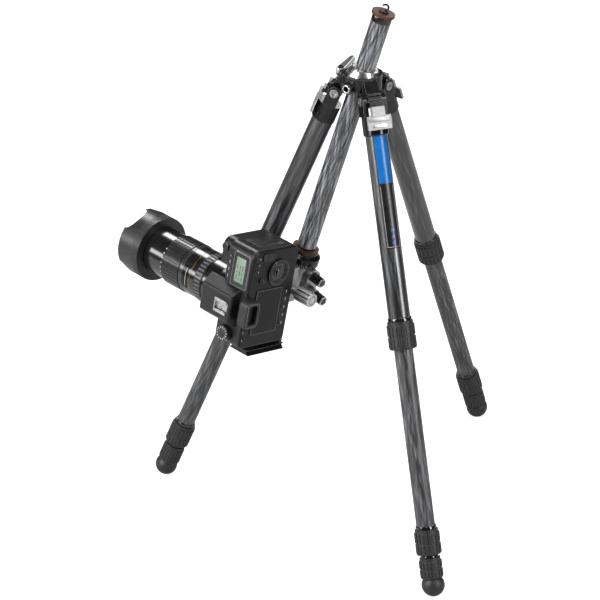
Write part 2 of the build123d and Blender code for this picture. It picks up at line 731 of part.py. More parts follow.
# Column end caps: the upper one carries the hook, the lower one the head's stud
plug = COLUMN_RADIUS - COLUMN_WALL - SEAT
top_disc_base = COLUMN_UP + CAP_FLANGE
hook_base = top_disc_base + TOP_DISC_THICKNESS
hook_centre = hook_base + HOOK_BASE_HEIGHT + HOOK_RADIUS
foot_disc_top = -COLUMN_DOWN - CAP_FLANGE
foot_disc_bottom = foot_disc_top - FOOT_DISC_THICKNESS
with BuildPart() as end_caps:
    with BuildSketch(profile(COLUMN)):
        with BuildLine():
            Polyline(
                (0, COLUMN_UP - CAP_PLUG),
                (plug, COLUMN_UP - CAP_PLUG),
                (plug, COLUMN_UP),
                (COLUMN_RADIUS, COLUMN_UP),
                (COLUMN_RADIUS, top_disc_base),
                (CAP_STEM, top_disc_base),
                (CAP_STEM, hook_base),
                (HOOK_BASE_RADIUS, hook_base),
                (HOOK_BASE_RADIUS, hook_base + HOOK_BASE_HEIGHT),
                (0, hook_base + HOOK_BASE_HEIGHT),
                close=True,
            )
        make_face()
        with BuildLine():
            Polyline(
                (0, CAP_PLUG - COLUMN_DOWN),
                (plug, CAP_PLUG - COLUMN_DOWN),
                (plug, -COLUMN_DOWN),
                (COLUMN_RADIUS, -COLUMN_DOWN),
                (COLUMN_RADIUS, foot_disc_top),
                (STUD_RADIUS, foot_disc_top),
                (STUD_RADIUS, foot_disc_bottom - STUD_LENGTH),
                (0, foot_disc_bottom - STUD_LENGTH),
                close=True,
            )
        make_face()
    revolve(axis=Axis(COLUMN.origin, COLUMN.z_dir))
    with BuildLine(profile(COLUMN)) as hook_line:
        CenterArc((0, hook_centre), HOOK_RADIUS, -90, HOOK_SWEEP)
    with BuildSketch(Plane(origin=hook_line.line @ 0, z_dir=hook_line.line % 0)):
        Circle(HOOK_WIRE)
    sweep(path=hook_line.line)
keep(end_caps, "column_end_caps")

with BuildPart() as end_discs:
    with BuildSketch(COLUMN.offset(top_disc_base)):
        Circle(TOP_DISC_DIAMETER / 2)
        Circle(CAP_STEM + SEAT, mode=Mode.SUBTRACT)
    extrude(amount=TOP_DISC_THICKNESS)
    with BuildSketch(COLUMN.offset(foot_disc_bottom)):
        Circle(FOOT_DISC_DIAMETER / 2)
        Circle(STUD_RADIUS + SEAT, mode=Mode.SUBTRACT)
    extrude(amount=FOOT_DISC_THICKNESS)
keep(end_discs, "column_end_discs")

# Ball head: base, housing, ball with its stem, two knobs
HEAD_AXIS = Axis(HEAD.origin, HEAD.z_dir)
base_top = HEAD_DROP + foot_disc_bottom
base_bottom = HOUSING_TOP + RUN
with BuildPart() as head_base:
    with BuildSketch(profile(HEAD)):
        with BuildLine():
            Polyline(
                (STUD_RADIUS + SEAT, base_top),
                (BASE_NECK_RADIUS, base_top),
                (BASE_NECK_RADIUS, base_top - BASE_NECK),
                (BASE_RADIUS, base_top - BASE_NECK - BASE_CONE),
                (BASE_RADIUS, base_bottom),
                (PIVOT_RADIUS, base_bottom),
                (PIVOT_RADIUS, base_bottom - PIVOT_DEPTH),
                (0, base_bottom - PIVOT_DEPTH),
                (0, base_top - STUD_LENGTH - SEAT),
                (STUD_RADIUS + SEAT, base_top - STUD_LENGTH - SEAT),
                close=True,
            )
        make_face()
    revolve(axis=HEAD_AXIS)
keep(head_base, "head_base")

HEAD_SIDE = Plane(origin=HEAD.origin, x_dir=HEAD.x_dir, z_dir=HEAD.y_dir)
with BuildPart() as housing:
    with BuildSketch(HEAD.offset(-HOUSING_BOTTOM)):
        Circle(HOUSING_RADIUS)
    extrude(amount=HOUSING_BOTTOM + HOUSING_TOP)
    chamfer(housing.edges().sort_by(HEAD_AXIS)[0], HOUSING_CHAMFER)
    with BuildSketch(HEAD_SIDE.offset(KNOB_BOSS_REACHES[0])):
        RectangleRounded(*KNOB_SLAB, KNOB_SLAB_CORNER)
    extrude(amount=HOUSING_RADIUS / 2 - KNOB_BOSS_REACHES[0])
    for height, reach in zip(KNOB_HEIGHTS, KNOB_BOSS_REACHES):
        with BuildSketch(HEAD_SIDE.offset(reach)):
            with Locations((0, -height)):
                Circle(KNOB_BOSS_RADIUS)
        extrude(amount=HOUSING_RADIUS / 2 - reach)
    with BuildSketch(HEAD.offset(HOUSING_TOP)):
        Circle(PIVOT_RADIUS + RUN)
    extrude(amount=-PIVOT_DEPTH - RUN, mode=Mode.SUBTRACT)
    with BuildSketch(profile(HEAD)):
        with BuildLine():
            Line((0, -HEAD_BALL_RADIUS - RUN), (0, HEAD_BALL_RADIUS + RUN))
            ThreePointArc(
                (0, HEAD_BALL_RADIUS + RUN),
                (HEAD_BALL_RADIUS + RUN, 0),
                (0, -HEAD_BALL_RADIUS - RUN),
            )
        make_face()
    revolve(axis=HEAD_AXIS, mode=Mode.SUBTRACT)
    with BuildSketch(Plane(origin=HEAD.origin, x_dir=HEAD.y_dir, z_dir=HEAD.x_dir)):
        Circle(STEM_RADIUS + NOTCH_GAP)
        with Locations((0, -HOUSING_RADIUS / 2)):
            Rectangle(2 * (STEM_RADIUS + NOTCH_GAP), HOUSING_RADIUS)
    extrude(amount=2 * HOUSING_RADIUS, mode=Mode.SUBTRACT)
    for height, reach in zip(KNOB_HEIGHTS, KNOB_BOSS_REACHES):
        with BuildSketch(HEAD_SIDE.offset(reach)):
            with Locations((0, -height)):
                Circle(KNOB_SHAFT + PIN_FIT)
        extrude(amount=-KNOB_SHAFT_LENGTH - RUN, mode=Mode.SUBTRACT)
keep(housing, "head_housing")

with BuildPart() as head_ball:
    with BuildSketch(Plane(origin=HEAD.origin, x_dir=HEAD.x_dir, z_dir=HEAD.y_dir)):
        with BuildLine():
            ThreePointArc((-HEAD_BALL_RADIUS, 0), (0, HEAD_BALL_RADIUS), (HEAD_BALL_RADIUS, 0))
            Line((HEAD_BALL_RADIUS, 0), (-HEAD_BALL_RADIUS, 0))
        make_face()
        Rectangle(STEM_END - STEM_FLANGE / 2, STEM_RADIUS, align=(Align.MIN, Align.MIN))
        with Locations((STEM_END - STEM_FLANGE, 0)):
            Rectangle(STEM_FLANGE, STEM_FLANGE_RADIUS, align=(Align.MIN, Align.MIN))
    revolve(axis=Axis(HEAD.origin, HEAD.x_dir))
keep(head_ball, "head_ball")


def head_knob(height, reach):
    """Fluted knob with a smooth rim, on a shaft into the housing."""
    seat = reach + RUN
    with BuildPart() as knob:
        with BuildSketch(HEAD_SIDE.offset(seat)):
            with Locations((0, -height)):
                Circle(KNOB_RADIUS)
        extrude(amount=KNOB_LENGTH)
        with BuildSketch(HEAD_SIDE.offset(seat)):
            with Locations((0, -height)):
                with PolarLocations(KNOB_RADIUS, KNOB_FLUTES):
                    Rectangle(KNOB_FLUTE, KNOB_FLUTE)
        extrude(amount=KNOB_LENGTH - KNOB_RIM, mode=Mode.SUBTRACT)
        with BuildSketch(HEAD_SIDE.offset(seat)):
            with Locations((0, -height)):
                Circle(KNOB_SHAFT)
        extrude(amount=-KNOB_SHAFT_LENGTH)
        tip = knob.edges().sort_by(Axis(HEAD.origin, HEAD.y_dir))[-1]
        chamfer(tip, KNOB_RIM / 4)
    return knob


keep(head_knob(KNOB_HEIGHTS[0], KNOB_BOSS_REACHES[0]), "head_pan_knob")
keep(head_knob(KNOB_HEIGHTS[1], KNOB_BOSS_REACHES[1]), "head_lock_knob")

# Clamp: a floor with a fixed jaw, a moving jaw and its screw knob
half_plate = PLATE_WIDTH / 2
waist = half_plate - DOVETAIL_DEPTH
lip_top = -PLATE_BOTTOM + DOVETAIL_LAND + DOVETAIL_DEPTH
clamp_right = STEM_X + CLAMP_LENGTH / 2
fixed_side = STEM_Z - half_plate - CLAMP_WALL
jaw_face = STEM_Z + half_plate
jaw_back = jaw_face + JAW_THICKNESS
screw_y = -PLATE_BOTTOM - SCREW_DROP
with BuildPart() as clamp_body:
    with BuildSketch(SECTION.offset(-clamp_right)):
        with BuildLine():
            Polyline(
                (fixed_side, -CLAMP_BOTTOM),
                (jaw_face, -CLAMP_BOTTOM),
                (jaw_face, -PLATE_BOTTOM),
                (STEM_Z - half_plate - SEAT, -PLATE_BOTTOM),
                (STEM_Z - half_plate - SEAT, -PLATE_BOTTOM + DOVETAIL_LAND),
                (STEM_Z - waist - SEAT, lip_top),
                (STEM_Z - waist - DOVETAIL_DEPTH, lip_top),
                (fixed_side, -PLATE_BOTTOM),
                close=True,
            )
        make_face()
    extrude(amount=CLAMP_LENGTH)
    corners = clamp_body.edges().filter_by(Axis(CAMERA.origin, CAMERA.y_dir))
    fillet(corners.sort_by(LENS_AXIS)[:2], CLAMP_CORNER)
    with BuildSketch(CAMERA.offset(jaw_face)):
        with Locations((SCREW_X, screw_y)):
            Circle(SCREW_RADIUS + PIN_FIT)
    extrude(amount=-SCREW_LENGTH - RUN, mode=Mode.SUBTRACT)
keep(clamp_body, "clamp_body")

with BuildPart() as clamp_jaw:
    with BuildSketch(SECTION.offset(-clamp_right)):
        with BuildLine():
            Polyline(
                (jaw_face + RUN, -CLAMP_BOTTOM),
                (jaw_back, -CLAMP_BOTTOM),
                (jaw_back, -PLATE_BOTTOM),
                (jaw_face + RUN, lip_top),
                (STEM_Z + waist + RUN, lip_top),
                (jaw_face + RUN, -PLATE_BOTTOM + DOVETAIL_LAND),
                close=True,
            )
        make_face()
    extrude(amount=CLAMP_LENGTH)
    with BuildSketch(CAMERA.offset(jaw_face)):
        with Locations((SCREW_X, screw_y)):
            Circle(SCREW_RADIUS + PIN_FIT)
    extrude(amount=JAW_THICKNESS, mode=Mode.SUBTRACT)
keep(clamp_jaw, "clamp_jaw")

knob_seat = jaw_back + RUN
knob_start = knob_seat + CLAMP_KNOB_NECK
with BuildPart() as clamp_knob:
    with BuildSketch(CAMERA.offset(knob_seat)):
        with Locations((SCREW_X, screw_y)):
            Circle(SCREW_RADIUS)
    extrude(amount=-SCREW_LENGTH)
    with BuildSketch(CAMERA.offset(knob_seat)):
        with Locations((SCREW_X, screw_y)):
            Circle(CLAMP_KNOB_NECK_RADIUS)
    extrude(amount=CLAMP_KNOB_NECK)
    with BuildSketch(CAMERA.offset(knob_start)):
        with Locations((SCREW_X, screw_y)):
            Circle(CLAMP_KNOB_RADIUS)
    extrude(amount=CLAMP_KNOB_LENGTH)
    chamfer(clamp_knob.edges().sort_by(LENS_AXIS)[-1], CLAMP_KNOB_FLUTE / 2)
    with BuildSketch(CAMERA.offset(knob_start)):
        with Locations((SCREW_X, screw_y)):
            with PolarLocations(CLAMP_KNOB_RADIUS, CLAMP_KNOB_FLUTES):
                Circle(CLAMP_KNOB_FLUTE / 2)
    extrude(amount=CLAMP_KNOB_LENGTH, mode=Mode.SUBTRACT)
keep(clamp_knob, "clamp_knob")

# L bracket: a dovetailed base, and an arm that stands off the camera's left side
arm_inner = -BODY_LEFT - ARM_GAP
arm_outer = arm_inner - ARM_THICKNESS
with BuildPart() as l_bracket:
    with BuildSketch(SECTION.offset(-PLATE_RIGHT)):
        with BuildLine():
            Polyline(
                (STEM_Z - half_plate, -PLATE_BOTTOM),
                (STEM_Z + half_plate, -PLATE_BOTTOM),
                (STEM_Z + half_plate, -PLATE_BOTTOM + DOVETAIL_LAND),
                (STEM_Z + waist, lip_top),
                (STEM_Z + half_plate, lip_top + DOVETAIL_LAND),
                (STEM_Z + half_plate, -BODY_BASE),
                (STEM_Z - half_plate, -BODY_BASE),
                (STEM_Z - half_plate, lip_top + DOVETAIL_LAND),
                (STEM_Z - waist, lip_top),
                (STEM_Z - half_plate, -PLATE_BOTTOM + DOVETAIL_LAND),
                close=True,
            )
        make_face()
    extrude(amount=PLATE_RIGHT - arm_inner)
    with BuildSketch(PLAN.offset(-BODY_BASE)):
        with Locations((STEM_Z, PLATE_RIGHT)):
            Rectangle(FLANGE_BACK - STEM_Z, PLATE_RIGHT - arm_inner, align=(Align.MIN, Align.MAX))
    extrude(amount=-FLANGE_THICKNESS)
    with BuildSketch(PLAN.offset(-PLATE_BOTTOM)):
        with BuildLine():
            Polyline(
                (ARM_Z - half_plate, arm_outer),
                (ARM_Z + half_plate, arm_outer),
                (ARM_Z + half_plate, arm_outer + DOVETAIL_LAND),
                (ARM_Z + waist, arm_outer + DOVETAIL_LAND + DOVETAIL_DEPTH),
                (ARM_Z + half_plate, arm_inner),
                (ARM_Z - half_plate, arm_inner),
                (ARM_Z - waist, arm_outer + DOVETAIL_LAND + DOVETAIL_DEPTH),
                (ARM_Z - half_plate, arm_outer + DOVETAIL_LAND),
                close=True,
            )
        make_face()
    extrude(amount=ARM_TOP + PLATE_BOTTOM)
    ends = l_bracket.faces().sort_by(Axis(CAMERA.origin, CAMERA.y_dir))[-1]
    chamfer(ends.edges().filter_by(LENS_AXIS), BRACKET_EDGE)
keep(l_bracket, "l_bracket")


def shell_outline(depth, inset):
    """Outline of the body from behind, rounder at the grip's end."""
    with BuildSketch(CAMERA.offset(depth)) as outline:
        with Locations(((BODY_RIGHT - BODY_LEFT) / 2, (BODY_TOP - BODY_BASE) / 2)):
            Rectangle(BODY_LEFT + BODY_RIGHT - 2 * inset, BODY_BASE + BODY_TOP - 2 * inset)
        fillet(outline.vertices().sort_by(Axis.X)[:2], BODY_CORNER - inset)
        fillet(outline.vertices().sort_by(Axis.X)[-2:], GRIP_END_CORNER - inset)
    return outline.sketch


# Camera body: shell with its grip, prism and lens throat
with BuildSketch(CAMERA.offset(-GRIP_FRONT)) as grip_face:
    with Locations((BODY_RIGHT, (GRIP_TOP - BODY_BASE) / 2)):
        Rectangle(GRIP_WIDTH, BODY_BASE + GRIP_TOP, align=(Align.MAX, Align.CENTER))
    fillet(grip_face.vertices().sort_by(Axis.X)[-2:], GRIP_END_CORNER)
with BuildPart() as grip:
    extrude(grip_face.sketch, amount=GRIP_FRONT + BODY_REAR / 2, dir=CAMERA.z_dir)
    fillet(grip.faces().sort_by(LENS_AXIS)[0].edges(), GRIP_EDGE)
shell_face = shell_outline(BODY_FRONT, 0)
with BuildPart() as body:
    extrude(shell_face, amount=BODY_REAR - BODY_FRONT, dir=CAMERA.z_dir)
    fillet(body.faces().sort_by(LENS_AXIS)[0].edges(), BODY_EDGE)
    add(grip.part)
    with BuildSketch(PLAN.offset(BODY_TOP - BODY_EDGE)):
        with Locations(((PRISM_REAR - PRISM_FRONT) / 2, 0)):
            Rectangle(PRISM_REAR + PRISM_FRONT, 2 * PRISM_FOOT_HALF)
    with BuildSketch(PLAN.offset(PRISM_TOP)):
        with Locations(((PRISM_REAR - PRISM_FRONT) / 2, 0)):
            Rectangle(PRISM_REAR + PRISM_FRONT - 2 * BODY_EDGE, 2 * PRISM_HALF)
    loft()
    crown = body.faces().sort_by(Axis(CAMERA.origin, CAMERA.y_dir))[-1]
    fillet(crown.edges(), PRISM_EDGE)
    with BuildSketch(CAMERA):
        Circle(THROAT_RADIUS)
    extrude(amount=BODY_FRONT + BODY_EDGE)
    with BuildSketch(PLAN.offset(BODY_TOP)):
        with Locations((DISPLAY_CENTRE[1], DISPLAY_CENTRE[0])):
            Rectangle(DISPLAY_SIZE[1] + 2 * SEAT, DISPLAY_SIZE[0] + 2 * SEAT)
    extrude(amount=-DISPLAY_DEPTH, mode=Mode.SUBTRACT)
    with BuildSketch(PLAN.offset(BODY_TOP)):
        with Locations((MODE_DIAL_CENTRE[1], MODE_DIAL_CENTRE[0])):
            Circle(MODE_DIAL_PIVOT + PIN_FIT)
    extrude(amount=-MODE_DIAL_PIVOT - RUN, mode=Mode.SUBTRACT)
    with BuildSketch(PLAN.offset(GRIP_TOP)):
        with Locations((SHUTTER_CENTRE[1], SHUTTER_CENTRE[0])):
            Circle(SHUTTER_RADIUS + RUN)
    extrude(amount=-SHUTTER_DEPTH - SHUTTER_TRAVEL - RUN, mode=Mode.SUBTRACT)
    with BuildSketch(SECTION.offset(-MAIN_DIAL_CENTRE[0] - MAIN_DIAL_WIDTH / 2 - RUN)):
        with Locations((MAIN_DIAL_CENTRE[2], MAIN_DIAL_CENTRE[1])):
            Circle(MAIN_DIAL_RADIUS + 2 * RUN)
    extrude(amount=MAIN_DIAL_WIDTH + 2 * RUN, mode=Mode.SUBTRACT)
    with BuildSketch(SECTION.offset(-MAIN_DIAL_CENTRE[0] - MAIN_DIAL_WIDTH)):
        with Locations((MAIN_DIAL_CENTRE[2], MAIN_DIAL_CENTRE[1])):
            Circle(MAIN_DIAL_PIVOT + PIN_FIT)
    extrude(amount=2 * MAIN_DIAL_WIDTH, mode=Mode.SUBTRACT)
keep(body, "camera_body")

# Back cover with the screen recess, the wheel's pivot and the small buttons
cover_face = shell_outline(BODY_REAR, COVER_INSET)
with BuildPart() as rear_cover:
    extrude(cover_face, amount=COVER_THICKNESS, dir=CAMERA.z_dir)
    fillet(rear_cover.faces().sort_by(LENS_AXIS)[-1].edges(), COVER_EDGE)
    with BuildSketch(CAMERA.offset(DIAL_PLANE)):
        with Locations(SCREEN_CENTRE):
            RectangleRounded(SCREEN_SIZE[0] + 2 * SEAT, SCREEN_SIZE[1] + 2 * SEAT, SCREEN_CORNER)
    extrude(amount=-SCREEN_DEPTH, mode=Mode.SUBTRACT)
    with BuildSketch(CAMERA.offset(DIAL_PLANE)):
        for index in range(LOW_BUTTONS):
            along = SCREEN_CENTRE[0] + (index - (LOW_BUTTONS - 1) / 2) * LOW_BUTTON_PITCH
            with Locations((along, LOW_BUTTON_Y)):
                Circle(BUTTON_RADIUS)
        with Locations(*HIGH_BUTTONS):
            Circle(BUTTON_RADIUS)
    extrude(amount=BUTTON_HEIGHT)
    with BuildSketch(CAMERA.offset(DIAL_PLANE)):
        with Locations(REAR_DIAL_CENTRE):
            Circle(REAR_DIAL_PIVOT)
    extrude(amount=REAR_DIAL_THICKNESS)
keep(rear_cover, "rear_cover")

with BuildPart() as rear_screen:
    with BuildSketch(CAMERA.offset(DIAL_PLANE - SCREEN_DEPTH)):
        with Locations(SCREEN_CENTRE):
            RectangleRounded(*SCREEN_SIZE, SCREEN_CORNER)
    extrude(amount=SCREEN_DEPTH + SCREEN_PROUD)
    chamfer(rear_screen.faces().sort_by(LENS_AXIS)[-1].edges(), SCREEN_PROUD / 2)
keep(rear_screen, "rear_screen")

with BuildPart() as top_display:
    with BuildSketch(PLAN.offset(BODY_TOP - DISPLAY_DEPTH)):
        with Locations((DISPLAY_CENTRE[1], DISPLAY_CENTRE[0])):
            Rectangle(DISPLAY_SIZE[1], DISPLAY_SIZE[0])
    extrude(amount=DISPLAY_DEPTH + DISPLAY_PROUD)
keep(top_display, "top_display")

with BuildPart() as eyecup:
    with BuildSketch(CAMERA.offset(DIAL_PLANE)):
        with Locations((0, EYECUP_CENTRE_Y)):
            RectangleRounded(*EYECUP_SIZE, EYECUP_CORNER)
    extrude(amount=EYECUP_DEPTH)
    fillet(eyecup.faces().sort_by(LENS_AXIS)[-1].edges(), EYECUP_WALL / 3)
    with BuildSketch(CAMERA.offset(DIAL_PLANE + EYECUP_DEPTH)):
        with Locations((0, EYECUP_CENTRE_Y)):
            RectangleRounded(
                EYECUP_SIZE[0] - 2 * EYECUP_WALL,
                EYECUP_SIZE[1] - 2 * EYECUP_WALL,
                EYECUP_CORNER - EYECUP_WALL / 2,
            )
    extrude(amount=EYECUP_WALL - EYECUP_DEPTH, mode=Mode.SUBTRACT)
keep(eyecup, "eyecup")

with BuildPart() as hot_shoe:
    with BuildSketch(PLAN.offset(PRISM_TOP)):
        with Locations((SHOE_CENTRE_Z, 0)):
            Rectangle(SHOE_SIZE[1], SHOE_SIZE[0])
    extrude(amount=SHOE_HEIGHT)
    slot_base = PRISM_TOP + SHOE_HEIGHT - 2 * SHOE_SLOT[1]
    with BuildSketch(PLAN.offset(slot_base)):
        with Locations((SHOE_CENTRE_Z + SHOE_SLOT[1], 0)):
            Rectangle(SHOE_SIZE[1], SHOE_SLOT[0])
    extrude(amount=SHOE_SLOT[1], mode=Mode.SUBTRACT)
    with BuildSketch(PLAN.offset(slot_base)):
        with Locations((SHOE_CENTRE_Z + SHOE_SLOT[1], 0)):
            Rectangle(SHOE_SIZE[1], SHOE_MOUTH)
    extrude(amount=2 * SHOE_SLOT[1], mode=Mode.SUBTRACT)
keep(hot_shoe, "hot_shoe")

with BuildPart() as mode_dial:
    with BuildSketch(PLAN.offset(BODY_TOP + RUN)):
        with Locations((MODE_DIAL_CENTRE[1], MODE_DIAL_CENTRE[0])):
            Circle(MODE_DIAL_RADIUS)
            with PolarLocations(MODE_DIAL_RADIUS, DIAL_TEETH):
                Rectangle(DIAL_TOOTH, DIAL_TOOTH, mode=Mode.SUBTRACT)
    extrude(amount=MODE_DIAL_HEIGHT)
    with BuildSketch(PLAN.offset(BODY_TOP + RUN)):
        with Locations((MODE_DIAL_CENTRE[1], MODE_DIAL_CENTRE[0])):
            Circle(MODE_DIAL_PIVOT)
    extrude(amount=-MODE_DIAL_PIVOT)
keep(mode_dial, "mode_dial")

with BuildPart() as rear_dial:
    with BuildSketch(CAMERA.offset(DIAL_PLANE + RUN)):
        with Locations(REAR_DIAL_CENTRE):
            Circle(REAR_DIAL_RADIUS)
            Circle(REAR_DIAL_PIVOT + PIN_FIT, mode=Mode.SUBTRACT)
    extrude(amount=REAR_DIAL_THICKNESS)
    with BuildSketch(CAMERA.offset(DIAL_PLANE + RUN + REAR_DIAL_THICKNESS)):
        with Locations(REAR_DIAL_CENTRE):
            Circle(REAR_DIAL_RADIUS - REAR_DIAL_THICKNESS)
            Circle(REAR_DIAL_HUB, mode=Mode.SUBTRACT)
    extrude(amount=-REAR_DIAL_THICKNESS / 2, mode=Mode.SUBTRACT)
    rim = rear_dial.edges().filter_by(GeomType.CIRCLE).sort_by(SortBy.RADIUS)[-2:]
    chamfer(rim.sort_by(LENS_AXIS)[-1], REAR_DIAL_THICKNESS / 4)
keep(rear_dial, "rear_dial")

with BuildPart() as main_dial:
    with BuildSketch(SECTION.offset(-MAIN_DIAL_CENTRE[0] - MAIN_DIAL_WIDTH / 2)):
        with Locations((MAIN_DIAL_CENTRE[2], MAIN_DIAL_CENTRE[1])):
            Circle(MAIN_DIAL_RADIUS)
            with PolarLocations(MAIN_DIAL_RADIUS, DIAL_TEETH):
                Rectangle(DIAL_TOOTH, DIAL_TOOTH, mode=Mode.SUBTRACT)
    extrude(amount=MAIN_DIAL_WIDTH)
    with BuildSketch(SECTION.offset(-MAIN_DIAL_CENTRE[0] - MAIN_DIAL_WIDTH + RUN)):
        with Locations((MAIN_DIAL_CENTRE[2], MAIN_DIAL_CENTRE[1])):
            Circle(MAIN_DIAL_PIVOT)
    extrude(amount=2 * (MAIN_DIAL_WIDTH - RUN))
keep(main_dial, "main_dial")

with BuildPart() as shutter:
    with BuildSketch(PLAN.offset(GRIP_TOP - SHUTTER_DEPTH)):
        with Locations((SHUTTER_CENTRE[1], SHUTTER_CENTRE[0])):
            Circle(SHUTTER_RADIUS)
    extrude(amount=SHUTTER_DEPTH + SHUTTER_HEIGHT)
    fillet(shutter.edges().sort_by(Axis(CAMERA.origin, CAMERA.y_dir))[-1], SHUTTER_HEIGHT / 2)
keep(shutter, "shutter_button")

# Lens: fixed barrel, focus and zoom rings, sliding barrel, front glass, petal hood
FOCUS_RING_END = FOCUS_RING_START + FOCUS_RING_LENGTH
ZOOM_RING_END = ZOOM_RING_START + ZOOM_RING_LENGTH
shell_inner = BARREL_RADIUS - SHELL_WALL
slider = shell_inner - RUN
slider_inner = slider - ZOOM_BARREL_WALL
guide = slider_inner - RUN
guide_inner = guide - GUIDE_WALL
groove = BARREL_RADIUS - FOCUS_GROOVE
cavity_rear = FOCUS_RING_END + GUIDE_WALL
with BuildPart() as lens_barrel:
    with BuildSketch(profile(CAMERA)):
        with BuildLine():
            Polyline(
                (0, 0),
                (MOUNT_RADIUS, 0),
                (MOUNT_RADIUS, -MOUNT_LENGTH),
                (BARREL_RADIUS, -BARREL_FLARE),
                (BARREL_RADIUS, -FOCUS_RING_START),
                (groove, -FOCUS_RING_START),
                (groove, -FOCUS_RING_END),
                (BARREL_RADIUS, -FOCUS_RING_END),
                (BARREL_RADIUS, -ZOOM_RING_START),
                (shell_inner, -ZOOM_RING_START),
                (shell_inner, -cavity_rear),
                (guide, -cavity_rear),
                (guide, -GUIDE_FRONT),
                (guide_inner, -GUIDE_FRONT),
                (guide_inner, -cavity_rear),
                (0, -cavity_rear),
                close=True,
            )
        make_face()
    revolve(axis=LENS_AXIS)
keep(lens_barrel, "lens_barrel")


def grip_ring(start, length, inner):
    """Ribbed rubber ring about the lens."""
    outer = BARREL_RADIUS + RING_PROUD
    with BuildPart() as rubber:
        with BuildSketch(CAMERA.offset(-start - length + RUN)):
            Circle(outer)
            Circle(inner, mode=Mode.SUBTRACT)
        extrude(amount=length - 2 * RUN)
        with BuildSketch(CAMERA.offset(-start - length + 2 * RING_FLUTE)):
            with PolarLocations(outer, RING_FLUTES):
                Rectangle(2 * RING_FLUTE, 2 * RING_FLUTE)
        extrude(amount=length - 4 * RING_FLUTE, mode=Mode.SUBTRACT)
    return rubber


keep(grip_ring(FOCUS_RING_START, FOCUS_RING_LENGTH, groove + RUN), "focus_ring")
keep(grip_ring(ZOOM_RING_START, ZOOM_RING_LENGTH, shell_inner), "zoom_ring")

glass_rear = ZOOM_BARREL_FRONT - FRONT_BEZEL - FRONT_GLASS_DEPTH
with BuildPart() as zoom_barrel:
    with BuildSketch(profile(CAMERA)):
        with BuildLine():
            Polyline(
                (slider_inner, -ZOOM_BARREL_REAR),
                (slider, -ZOOM_BARREL_REAR),
                (slider, -ZOOM_BARREL_FRONT),
                (FRONT_GLASS_RADIUS + SEAT, -ZOOM_BARREL_FRONT),
                (FRONT_GLASS_RADIUS + SEAT, -glass_rear),
                (FRONT_GLASS_RADIUS - FRONT_BEZEL, -glass_rear),
                (FRONT_GLASS_RADIUS - FRONT_BEZEL, FRONT_BEZEL - glass_rear),
                (slider_inner, FRONT_BEZEL - glass_rear),
                close=True,
            )
        make_face()
    revolve(axis=LENS_AXIS)
keep(zoom_barrel, "zoom_barrel")

with BuildPart() as front_glass:
    glass_rim = glass_rear + FRONT_GLASS_DEPTH - FRONT_GLASS_BULGE
    curve = (FRONT_GLASS_RADIUS**2 + FRONT_GLASS_BULGE**2) / (2 * FRONT_GLASS_BULGE)
    half_way = sqrt(curve**2 - FRONT_GLASS_RADIUS**2 / 4) - curve + FRONT_GLASS_BULGE
    with BuildSketch(profile(CAMERA)):
        with BuildLine():
            Polyline(
                (0, -glass_rim - FRONT_GLASS_BULGE),
                (0, -glass_rear),
                (FRONT_GLASS_RADIUS, -glass_rear),
                (FRONT_GLASS_RADIUS, -glass_rim),
            )
            ThreePointArc(
                (FRONT_GLASS_RADIUS, -glass_rim),
                (FRONT_GLASS_RADIUS / 2, -glass_rim - half_way),
                (0, -glass_rim - FRONT_GLASS_BULGE),
            )
        make_face()
    revolve(axis=LENS_AXIS)
keep(front_glass, "front_lens")

with BuildPart() as hood:
    with BuildSketch(profile(CAMERA)):
        with BuildLine():
            Polyline(
                (slider + RUN, -HOOD_REAR),
                (HOOD_REAR_RADIUS, -HOOD_REAR),
                (HOOD_FRONT_RADIUS, -HOOD_FRONT),
                (HOOD_FRONT_RADIUS - HOOD_WALL, -HOOD_FRONT),
                (HOOD_REAR_RADIUS - HOOD_WALL, -HOOD_REAR - HOOD_COLLAR),
                (slider + RUN, -HOOD_REAR - HOOD_COLLAR),
                close=True,
            )
        make_face()
    revolve(axis=LENS_AXIS)
    for angle in (PETAL_ANGLE, -PETAL_ANGLE):
        way = CAMERA.x_dir * sin(radians(angle)) + CAMERA.y_dir * cos(radians(angle))
        rim_point = CAMERA.origin - CAMERA.z_dir * HOOD_FRONT
        with BuildSketch(Plane(origin=rim_point, x_dir=CAMERA.z_dir, z_dir=way)):
            Ellipse(*PETAL_NOTCH)
        extrude(amount=2 * HOOD_FRONT_RADIUS, both=True, mode=Mode.SUBTRACT)
keep(hood, "lens_hood")

# Stand the whole on its origin: the middle of its footprint, at floor level
boxes = [piece.bounding_box() for piece in pieces.values()]
low = Vector(*[min(getattr(box.min, axis) for box in boxes) for axis in "XYZ"])
high = Vector(*[max(getattr(box.max, axis) for box in boxes) for axis in "XYZ"])
STAND = Vector(-(low.X + high.X) / 2, -(low.Y + high.Y) / 2, -low.Z)
for label, piece in pieces.items():
    placed = piece.moved(Location(STAND))
    placed.label = label
    export_step(placed, f"parts/{label}.step")
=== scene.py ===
"""Looks and fine detail over the CAD frame.

The object is a digital camera in an L bracket, hung from a tripod's inverted column.
"""
import math

import bpy
from mathutils import Matrix, Vector


